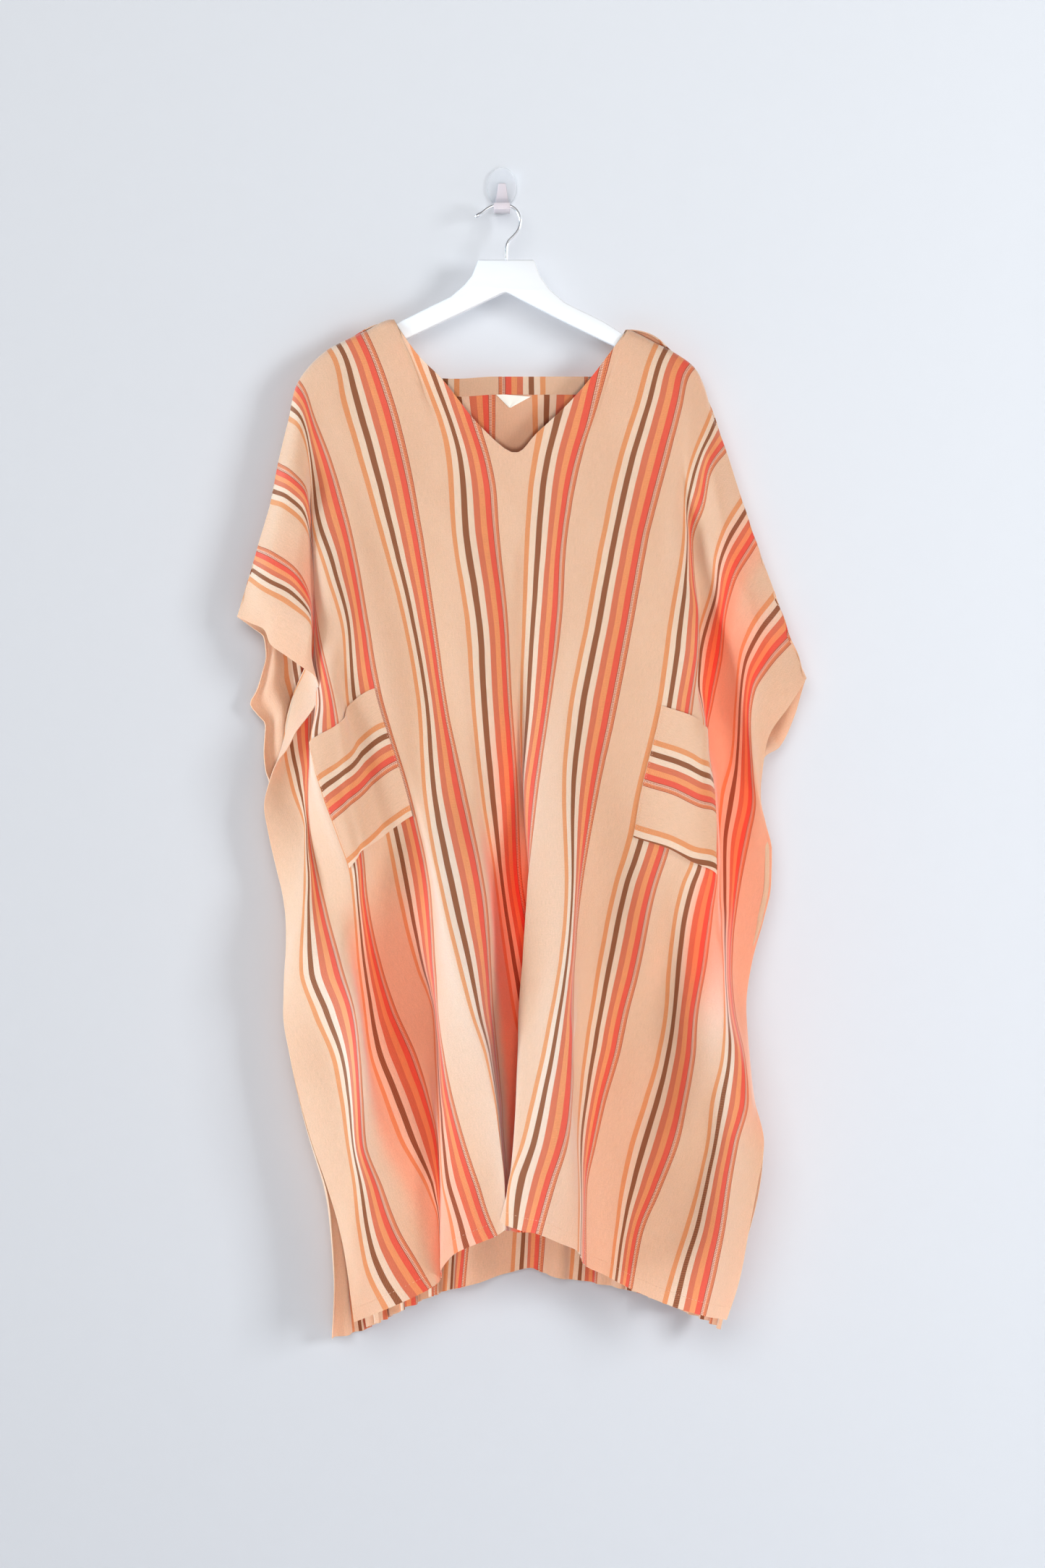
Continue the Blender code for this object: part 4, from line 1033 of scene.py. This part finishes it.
def cloth_material(cloth, reverse=False):
    """Woven cotton, vertical stripes, ribs, ladder lines, soft nap, painted fold shade and ridge highlight;
    reverse paled by painted light.
    """
    material, shader = new_material("striped_cotton_reverse" if reverse else "striped_cotton", COTTON)
    if shader is None:
        return material
    tree = material.node_tree
    threads = add_node(tree, "ShaderNodeUVMap", "threads", uv_map="threads").outputs[0]
    group = stripe_group(cloth)
    stripes = add_node(tree, "ShaderNodeGroup", "stripes", {"Threads": threads}, node_tree=group).outputs
    # The folds map holds two shares of painted light: painted warm shade and a painted ridge highlight
    folds = add_node(tree, "ShaderNodeUVMap", "folds", uv_map="folds").outputs[0]
    warm, ridge = add_node(tree, "ShaderNodeSeparateXYZ", "fold and ridge", {0: folds}).outputs[:2]
    colour = stripes["Colour"]
    for share, tint in ((warm, cloth.painted_fold_shade), (ridge, cloth.painted_ridge_highlight)):
        tinted = colour_mix(tree, 1.0, colour, (*tint, 1.0), "MULTIPLY")
        colour = colour_mix(tree, share, colour, tinted)
    # The inner side mixes in a paler colour as painted light
    if reverse:
        colour = colour_mix(tree, PAINTED_INNER_LIGHT_SHARE, colour, (*cloth.reverse, 1.0))
    tree.links.new(colour, shader.inputs["Base Color"])
    tree.links.new(bump_of(tree, stripes["Height"], *WEAVE_BUMP), shader.inputs["Normal"])
    return material


def grain_group():
    """Fine grain and soft unevenness of a solid surface, as a mask and a height."""
    found = bpy.data.node_groups.get("fine_grain")
    if found:
        return found
    tree, given, made = group_tree(
        "fine_grain",
        (("Size", "NodeSocketFloat", 400.0), ("Stretch", "NodeSocketVector", (1, 1, 1))),
        (("Mask", "NodeSocketFloat"), ("Height", "NodeSocketFloat")),
    )
    spot = add_node(tree, "ShaderNodeTexCoord", "object").outputs["Object"]
    vector = stretched(tree, spot, given["Stretch"])
    fine = noise(tree, "fine", vector, given["Size"], FINE_DETAIL)
    broad = noise(tree, "broad", vector, *BROAD_GRAIN)
    mask = maths(tree, "MULTIPLY_ADD", broad, 0.5, maths(tree, "MULTIPLY", fine, 0.5))
    tree.links.new(mask, made["Mask"])
    tree.links.new(fine, made["Height"])
    return tree


def grained_material(name, colour):
    """A finish from FINISHES: its colour varies a little, and its grain is raised."""
    darker, size, stretch, strength, distance, settings = FINISHES[name]
    material, shader = new_material(name, settings)
    if shader is None:
        return material
    tree = material.node_tree
    inputs = {"Size": size, "Stretch": stretch}
    grain = add_node(tree, "ShaderNodeGroup", "fine grain", inputs, node_tree=grain_group())
    low = tuple(value * darker for value in colour)
    tint = colour_mix(tree, grain.outputs["Mask"], (*low, 1.0), (*colour, 1.0))
    tree.links.new(tint, shader.inputs["Base Color"])
    tree.links.new(bump_of(tree, grain.outputs["Height"], strength, distance), shader.inputs["Normal"])
    return material


def stitch_object(name, spots, material):
    """Many short stitches in one mesh: spots are (start, end, normal) of each."""
    built = bmesh.new()
    for start, end, normal in spots:
        middle = (start + end) / 2 + normal * STITCH_WIDTH * STITCH_SINKS
        side = np.cross(end - start, normal)
        side *= STITCH_WIDTH / 2 / np.linalg.norm(side)
        up = normal * STITCH_WIDTH / 2
        ring = [built.verts.new(middle + offset) for offset in (side, up, -side, -up)]
        first, last = built.verts.new(start), built.verts.new(end)
        for here, after in zip(ring, ring[1:] + ring[:1]):
            built.faces.new((here, after, last))
            built.faces.new((after, here, first))
    bmesh.ops.recalc_face_normals(built, faces=built.faces[:])
    mesh = bpy.data.meshes.new(name)
    built.to_mesh(mesh)
    built.free()
    finish_piece(linked(name, mesh), material, "striped_cloth")


def stitches_along(cloth, route, pitch, share, lift, seed):
    """Stitches along a route of (across in mm, along in m) on a cloth, a little uneven."""
    draw = random.Random(seed)
    route = np.array(route, float)
    measured = np.linalg.norm(np.diff(route * (0.001, 1), axis=0), axis=1)
    lengths = np.concatenate(([0], np.cumsum(measured)))
    spots = []
    for start in np.arange(0, lengths[-1] - pitch, pitch):
        ends = []
        for at in (start, start + pitch * share):
            wobble = draw.uniform(-STITCH_WOBBLE, STITCH_WOBBLE)
            u = np.interp(at, lengths, route[:, 0]) + 1000 * wobble
            point, normal = cloth.at(u, np.interp(at, lengths, route[:, 1]))
            ends.append((point + normal * lift, normal))
        spots.append((ends[0][0], ends[1][0], ends[0][1]))
    return spots


def read_along(lengths, values, wanted):
    """A grid's values at wanted lengths along its threads."""
    read = [[np.interp(wanted, at, axis) for axis in value.T] for at, value in zip(lengths, values)]
    return np.array(read).swapaxes(1, 2)


made_cloths = {}


class KAFTAN_OT_front(bpy.types.Operator):
    """Hang the front panel in its folds"""

    bl_idname = "kaftan.front"
    bl_label = "Front Panel"

    def execute(self, context):
        settings = context.scene.kaftan_cloth
        cloth = front_cloth()
        cloth.relax(wrinkles(cloth, settings.wrinkles, FRONT_SEED))
        made_cloths["front"] = cloth
        threads = paired(cloth.columns[:, None] / 1000, cloth.along)
        # The folds UV map carries the shares of painted warm shade and painted ridge highlight
        obj = grid_object("cloth_front", cloth.points, 1, threads=threads, folds=painted_light_shares(cloth))
        thicken(obj, settings.thickness)
        finish_piece(obj, cloth_material(settings), "striped_cloth", "front")
        return {"FINISHED"}


class KAFTAN_OT_back(bpy.types.Operator):
    """Hang the back panel behind the front"""

    bl_idname = "kaftan.back"
    bl_label = "Back Panel"

    def execute(self, context):
        settings = context.scene.kaftan_cloth
        cloth = back_cloth()
        cloth.relax(wrinkles(cloth, settings.wrinkles, BACK_SEED) + gathers(cloth))
        made_cloths["back"] = cloth
        threads = paired(cloth.columns[:, None] / 1000, cloth.along)
        obj = grid_object("cloth_back", cloth.points, -1, threads=threads)
        thicken(obj, settings.thickness, 1)
        finish_piece(obj, cloth_material(settings), "striped_cloth", "back")
        # The inner side gets the paler material, lightened by painted light
        obj.data.materials.append(cloth_material(settings, reverse=True))
        return {"FINISHED"}


def pocket_grid(front, left, right):
    """A pocket's points, moved out from the front, and its own threads, which lie crosswise."""
    inside = (front.columns >= left) & (front.columns <= right)
    top = len(TURN_LENGTHS) - 1 + FRONT_ROWS[0]
    rows = slice(top, top + FRONT_ROWS[1] + 1)
    u = front.columns[inside]
    down = front.along[inside, rows] - front.along[inside, top : top + 1]
    middle = np.sin(np.pi * (u - left) / (right - left))[:, None]
    belly = np.sin(np.pi * np.linspace(0, 1, down.shape[1]) * 0.5 + POCKET_BELLY_STARTS)[None, :]
    out = POCKET_STANDS_OUT + POCKET_BULGE * middle * belly
    threads = paired(REPEAT_STARTS + down - POCKET_REPEAT_SHIFT, u[:, None] / 1000)
    return front.points[inside, rows] + front.normals[inside, rows] * out[..., None], threads


class KAFTAN_OT_pockets(bpy.types.Operator):
    """Set the two patch pockets on the front"""

    bl_idname = "kaftan.pockets"
    bl_label = "Patch Pockets"

    def execute(self, context):
        settings = context.scene.kaftan_cloth
        for name, (left, right) in POCKETS.items():
            points, threads = pocket_grid(made_cloths["front"], left, right)
            obj = grid_object(name + "_cloth", points, 1, threads=threads)
            thicken(obj, settings.thickness)
            finish_piece(obj, cloth_material(settings), "striped_cloth", name)
        return {"FINISHED"}


class KAFTAN_OT_facing(bpy.types.Operator):
    """Turn the strip to the inside of the back neck and hang the blank label from it"""

    bl_idname = "kaftan.facing"
    bl_label = "Neck Facing and Label"

    def execute(self, context):
        settings = context.scene.kaftan_cloth
        back = made_cloths["back"]
        inside = (back.columns >= FACING_EDGES[0]) & (back.columns <= FACING_EDGES[1])
        lengths = back.along[inside] - back.along[inside][:, :1]
        rows = np.linspace(0, FACING_HEIGHT, FACING_ROWS)
        normals = read_along(lengths, back.normals[inside], rows)
        points = read_along(lengths, back.points[inside], rows) - normals * FACING_INSIDE
        from_middle = points[:, :, 0] - (FACING_MIDDLE - ORIGIN_ACROSS) * STEP
        threads = paired(FACING_STRIPES_START - from_middle, rows[None, :])
        obj = grid_object("neck_facing_strip", points, 1, threads=threads)
        thicken(obj, settings.thickness)
        finish_piece(obj, cloth_material(settings), "striped_cloth", "neck_facing")
        self.hang_label(settings)
        return {"FINISHED"}

    def hang_label(self, settings):
        """A loop of blank tape folded to a point."""
        low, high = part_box("label")
        columns, rows = LABEL_GRID
        down = np.linspace(0, 1, rows)[None, :, None]
        over = np.linspace(0, 1, columns)[:, None, None]
        tip = place(*LABEL_TIP, 0)
        left, right = (place(*corner, 0) for corner in LABEL_CORNERS)
        left_leg = left * (1 - down) + tip * down
        right_leg = right * (1 - down) + (tip + np.array((LABEL_TIP_WIDTH, 0, 0))) * down
        points = left_leg * (1 - over) + right_leg * over
        curl = LABEL_CURL * np.cos(LABEL_CURL_TURN * np.arange(columns))
        points[:, :, 1] = (low[1] + high[1]) / 2 + curl[:, None]
        obj = grid_object("label_tape", points, 1, threads=np.zeros((columns, rows, 2)))
        thicken(obj, LABEL_THICKNESS)
        finish_piece(obj, grained_material("label_tape", settings.label), "label_tape", "label")


class KAFTAN_OT_stitches(bpy.types.Operator):
    """Sew the hems and the pocket edges"""

    bl_idname = "kaftan.stitches"
    bl_label = "Stitches"

    def execute(self, context):
        settings = context.scene.kaftan_cloth
        thread = grained_material("sewing_thread", settings.thread)
        lift = settings.thickness / 2
        for name, seed in HEM_SEEDS.items():
            cloth = made_cloths[name]
            route = [(u, length - HEM_TURN) for u, length in zip(cloth.columns, cloth.along[:, -1])]
            spots = stitches_along(cloth, route, *HEM_STITCH, lift, seed)
            stitch_object("stitches_" + name + "_hem", spots, thread)
        lift += POCKET_STANDS_OUT + POCKET_STITCH_LIFT
        top, bottom = POCKET_STITCH_ALONG
        for name, (left, right) in POCKETS.items():
            left += POCKET_STITCH_INSET
            right -= POCKET_STITCH_INSET
            route = [(left, top), (left, bottom), (right, bottom), (right, top)]
            spots = stitches_along(made_cloths["front"], route, *POCKET_STITCH, lift, POCKET_SEED)
            stitch_object("stitches_" + name, spots, thread)
        return {"FINISHED"}


def extruded(name, corners, depth):
    """A prism drawn as a maker would: a point is pulled round the corners, and the ring is given depth."""
    bpy.ops.object.select_all(action="DESELECT")
    bpy.ops.mesh.primitive_plane_add(size=0.01, location=(0, 0, 0))
    obj = bpy.context.active_object
    obj.name = name
    obj.data.name = name
    bpy.ops.object.mode_set(mode="EDIT")
    bpy.ops.mesh.select_all(action="SELECT")
    bpy.ops.mesh.merge(type="CENTER")
    bpy.ops.transform.translate(value=corners[0])
    for here, after in zip(corners[:-1], corners[1:]):
        bpy.ops.mesh.extrude_region_move(TRANSFORM_OT_translate={"value": after - here})
    bpy.ops.mesh.select_all(action="SELECT")
    bpy.ops.mesh.edge_face_add()
    bpy.ops.mesh.select_all(action="SELECT")
    bpy.ops.mesh.extrude_region_move(TRANSFORM_OT_translate={"value": depth})
    bpy.ops.mesh.select_all(action="SELECT")
    bpy.ops.mesh.normals_make_consistent(inside=False)
    bpy.ops.object.mode_set(mode="OBJECT")
    return obj


class KAFTAN_OT_hanger(bpy.types.Operator):
    """Shape the white wooden hanger"""

    bl_idname = "kaftan.hanger"
    bl_label = "Hanger"

    def execute(self, context):
        settings = context.scene.kaftan_hanger
        corners = [Vector(place(*spot, 1000 * HANGER_THICKNESS / 2)) for spot in HANGER_OUTLINE]
        obj = extruded("hanger_wood", corners, (0, HANGER_THICKNESS, 0))
        round_edges(obj, *HANGER_ROUNDING)
        finish_piece(obj, grained_material("white_paint", settings.paint), "white_wood", "hanger")
        return {"FINISHED"}


class KAFTAN_OT_hook(bpy.types.Operator):
    """Bend the chrome wire hook"""

    bl_idname = "kaftan.hook"
    bl_label = "Wire Hook"

    def execute(self, context):
        settings = context.scene.kaftan_hanger
        route = [place(*spot, 0) for spot in HOOK_WIRE]
        route.append(route[-1] - np.array((0, 0, STEM_DEPTH)))
        route = np.array(route)
        lengths = np.concatenate(([0], np.cumsum(np.linalg.norm(np.diff(route, axis=0), axis=1))))
        points = smooth_through(lengths, route, np.linspace(0, lengths[-1], WIRE_POINTS))
        bpy.ops.object.select_all(action="DESELECT")
        bpy.ops.curve.primitive_nurbs_path_add(location=(0, 0, 0))
        obj = bpy.context.active_object
        obj.name = "hook_wire"
        curve = obj.data
        curve.splines.clear()
        spline = curve.splines.new("POLY")
        spline.points.add(len(points) - 1)
        thickest, reach, swelling = WIRE_BALL
        for i, (point, spot) in enumerate(zip(spline.points, points)):
            point.co = (*spot, 1.0)
            ball = swelling * math.exp(-(((i - thickest) / reach) ** 2))
            point.radius = 1 + ball + WIRE_TIP_RADII.get(i, 0)
        curve.dimensions = "3D"
        curve.bevel_depth = WIRE_RADIUS
        curve.bevel_resolution = WIRE_ROUNDNESS
        curve.use_fill_caps = True
        select_only(obj)
        bpy.ops.object.convert(target="MESH")
        obj = bpy.context.active_object
        obj.data.shade_smooth()
        finish_piece(obj, grained_material("chrome", settings.chrome), "chrome_wire", "hanger_hook")
        return {"FINISHED"}


class KAFTAN_OT_wall_hook(bpy.types.Operator):
    """Mould the clear oval wall hook"""

    bl_idname = "kaftan.wall_hook"
    bl_label = "Wall Hook"

    def execute(self, context):
        settings = context.scene.kaftan_hanger
        bpy.ops.object.select_all(action="DESELECT")
        bpy.ops.mesh.primitive_cylinder_add(
            vertices=PLATE_SIDES, radius=0.5, depth=1.0, location=(0, -PLATE_THICKNESS / 2, 0),
            rotation=(math.radians(90), 0, 0), scale=(PLATE_WIDTH, PLATE_HEIGHT, PLATE_THICKNESS),
        )
        plate = bpy.context.active_object
        plate.name = "hook_plate"
        bpy.ops.object.transform_apply(location=True, rotation=True, scale=True)
        round_edges(plate, *PLATE_ROUNDING)
        clear = grained_material("clear_plastic", settings.plastic)
        # Where the solids are loaded, their own clear material has this name and is used, made to transmit
        shader = clear.node_tree.nodes["Principled BSDF"]
        shader.inputs["Transmission Weight"].default_value = PLATE_TRANSMISSION
        finish_piece(plate, clear, "clear_plastic", "wall_hook")
        self.turn_tongue(settings)
        return {"FINISHED"}

    def turn_tongue(self, settings):
        """The tongue lies on the plate, turns out into a shelf under the wire, and up into a lip."""
        on_shelf = (ORIGIN_DOWN - WIRE_LOW_ON_SHELF) * STEP - WIRE_RADIUS - WIRE_OFF_SHELF
        under_shelf = on_shelf - TONGUE_THICKNESS
        lip_top = under_shelf + LIP_HEIGHT
        reach = HANGER_FROM_WALL + WIRE_RADIUS + LIP_PAST_WIRE
        behind_lip = reach - TONGUE_THICKNESS
        start = PLATE_THICKNESS + TONGUE_OFF_PLATE
        front = start + TONGUE_THICKNESS
        profile = (
            (start, TONGUE_TOP), (front, TONGUE_TOP), (front, on_shelf), (behind_lip, on_shelf),
            (behind_lip, lip_top), (reach, lip_top), (reach, under_shelf), (start, under_shelf),
        )
        corners = [Vector((-TONGUE_WIDTH / 2, -out, up)) for out, up in profile]
        tongue = extruded("hook_tongue", corners, (TONGUE_WIDTH, 0, 0))
        for corner in tongue.data.vertices:
            if corner.co.z > TONGUE_TOP / 2:
                corner.co.x *= TONGUE_TOP_NARROWS
        round_edges(tongue, *TONGUE_ROUNDING)
        finish_piece(tongue, grained_material("tongue_plastic", settings.tongue), "clear_plastic")


def stage_plane(name, colour, location, rotation):
    bpy.ops.object.select_all(action="DESELECT")
    bpy.ops.mesh.primitive_plane_add(size=STAGE_SIZE, location=location, rotation=rotation)
    obj = bpy.context.active_object
    obj.name = name
    obj.data.materials.append(grained_material(name + "_surface", colour))
    return obj


def lamp(name, spot, size, power, colour):
    bpy.ops.object.select_all(action="DESELECT")
    turn = (Vector(LAMPS_AIM) - Vector(spot)).to_track_quat("-Z", "Y").to_euler()
    bpy.ops.object.light_add(type="AREA", location=spot, rotation=turn)
    light = bpy.context.active_object
    light.name = name
    light.data.shape = "RECTANGLE"
    light.data.size, light.data.size_y = size
    light.data.energy = power
    light.data.color = colour
    return light


def light_only(light, objects):
    """The light reaches these objects and no others, as with a flag beside the lamp."""
    lit = bpy.data.collections.new("lit_by_" + light.name)
    for obj in objects:
        lit.objects.link(obj)
    light.light_linking.receiver_collection = lit
    return lit


class KAFTAN_OT_stage(bpy.types.Operator):
    """Set the wall, floor, lights and camera"""

    bl_idname = "kaftan.stage"
    bl_label = "Stage"

    def execute(self, context):
        settings = context.scene.kaftan_stage
        pieces = [obj for obj in bpy.data.objects if obj.type == "MESH"]
        wall = stage_plane("wall", settings.wall, WALL_PLACE, (math.radians(90), 0, 0))
        floor = stage_plane("floor", settings.floor, FLOOR_PLACE, (0, 0, 0))
        self.clear_from_behind(wall)
        opaque = [obj for obj in pieces if obj.name not in CLEAR_PIECES]
        groups = {"object": pieces, "room": (wall, floor), "opaque pieces": opaque}
        for name, spot, size, power, colour, lights in LAMPS:
            light = lamp(name, spot, size, getattr(settings, power), colour)
            if lights in groups:
                lit = light_only(light, groups[lights])
            if name == "back_light":
                # The wall doesn't block the lamp behind it
                light.light_linking.blocker_collection = lit
        self.set_sky(context.scene, settings.sky)
        self.set_camera(context.scene)
        context.scene.view_settings.view_transform = "Standard"
        context.scene.view_settings.look = "None"
        return {"FINISHED"}

    def clear_from_behind(self, wall):
        """The wall shows only its face, so that a view from behind sees the garment."""
        tree = wall.data.materials[0].node_tree
        facing = add_node(tree, "ShaderNodeNewGeometry", "which side").outputs["Backfacing"]
        clear = add_node(tree, "ShaderNodeBsdfTransparent", "open side").outputs[0]
        inputs = {0: facing, 1: tree.nodes["Principled BSDF"].outputs[0], 2: clear}
        choice = add_node(tree, "ShaderNodeMixShader", "one-sided", inputs)
        tree.links.new(choice.outputs[0], tree.nodes["Material Output"].inputs["Surface"])

    def set_sky(self, scene, strength):
        scene.world = scene.world or bpy.data.worlds.new("even_light")
        scene.world.use_nodes = True
        background = scene.world.node_tree.nodes["Background"]
        background.inputs["Color"].default_value = SKY_COLOUR
        background.inputs["Strength"].default_value = strength

    def set_camera(self, scene):
        x = (EYE_ACROSS - ORIGIN_ACROSS) * STEP
        z = (ORIGIN_DOWN - EYE_DOWN) * STEP
        spot = (x, -HANGER_FROM_WALL - EYE_DISTANCE, z)
        bpy.ops.object.camera_add(location=spot, rotation=(math.radians(90), 0, 0))
        camera = bpy.context.active_object
        camera.name = "camera"
        camera.data.sensor_fit = "VERTICAL"
        camera.data.lens = camera.data.sensor_height * EYE_DISTANCE / (SEEN_HEIGHT * STEP)
        scene.camera = camera


STEPS = (
    KAFTAN_OT_front, KAFTAN_OT_back, KAFTAN_OT_pockets, KAFTAN_OT_facing, KAFTAN_OT_stitches,
    KAFTAN_OT_hanger, KAFTAN_OT_hook, KAFTAN_OT_wall_hook, KAFTAN_OT_stage,
)


class KAFTAN_PT_sidebar(bpy.types.Panel):
    """The kaftan's sizes, colours and making steps"""

    bl_label = "Kaftan"
    bl_idname = "KAFTAN_PT_sidebar"
    bl_space_type = "VIEW_3D"
    bl_region_type = "UI"
    bl_category = "Kaftan"

    def draw(self, context):
        for name in SETTINGS:
            settings = getattr(context.scene, name)
            box = self.layout.box()
            for setting in settings.__annotations__:
                box.prop(settings, setting)
        for step in STEPS:
            self.layout.operator(step.bl_idname)


SETTINGS = {"kaftan_cloth": KaftanCloth, "kaftan_hanger": KaftanHanger, "kaftan_stage": KaftanStage}


def register():
    for name, group in SETTINGS.items():
        bpy.utils.register_class(group)
        setattr(bpy.types.Scene, name, PointerProperty(type=group))
    for step in STEPS:
        bpy.utils.register_class(step)
    bpy.utils.register_class(KAFTAN_PT_sidebar)


def unregister():
    bpy.utils.unregister_class(KAFTAN_PT_sidebar)
    for step in reversed(STEPS):
        bpy.utils.unregister_class(step)
    for name, group in SETTINGS.items():
        delattr(bpy.types.Scene, name)
        bpy.utils.unregister_class(group)


def main():
    register()
    for step in STEPS:
        group, name = step.bl_idname.split(".")
        if getattr(getattr(bpy.ops, group), name)() != {"FINISHED"}:
            raise RuntimeError(step.bl_label + " did not finish")


if __name__ == "__main__":
    main()
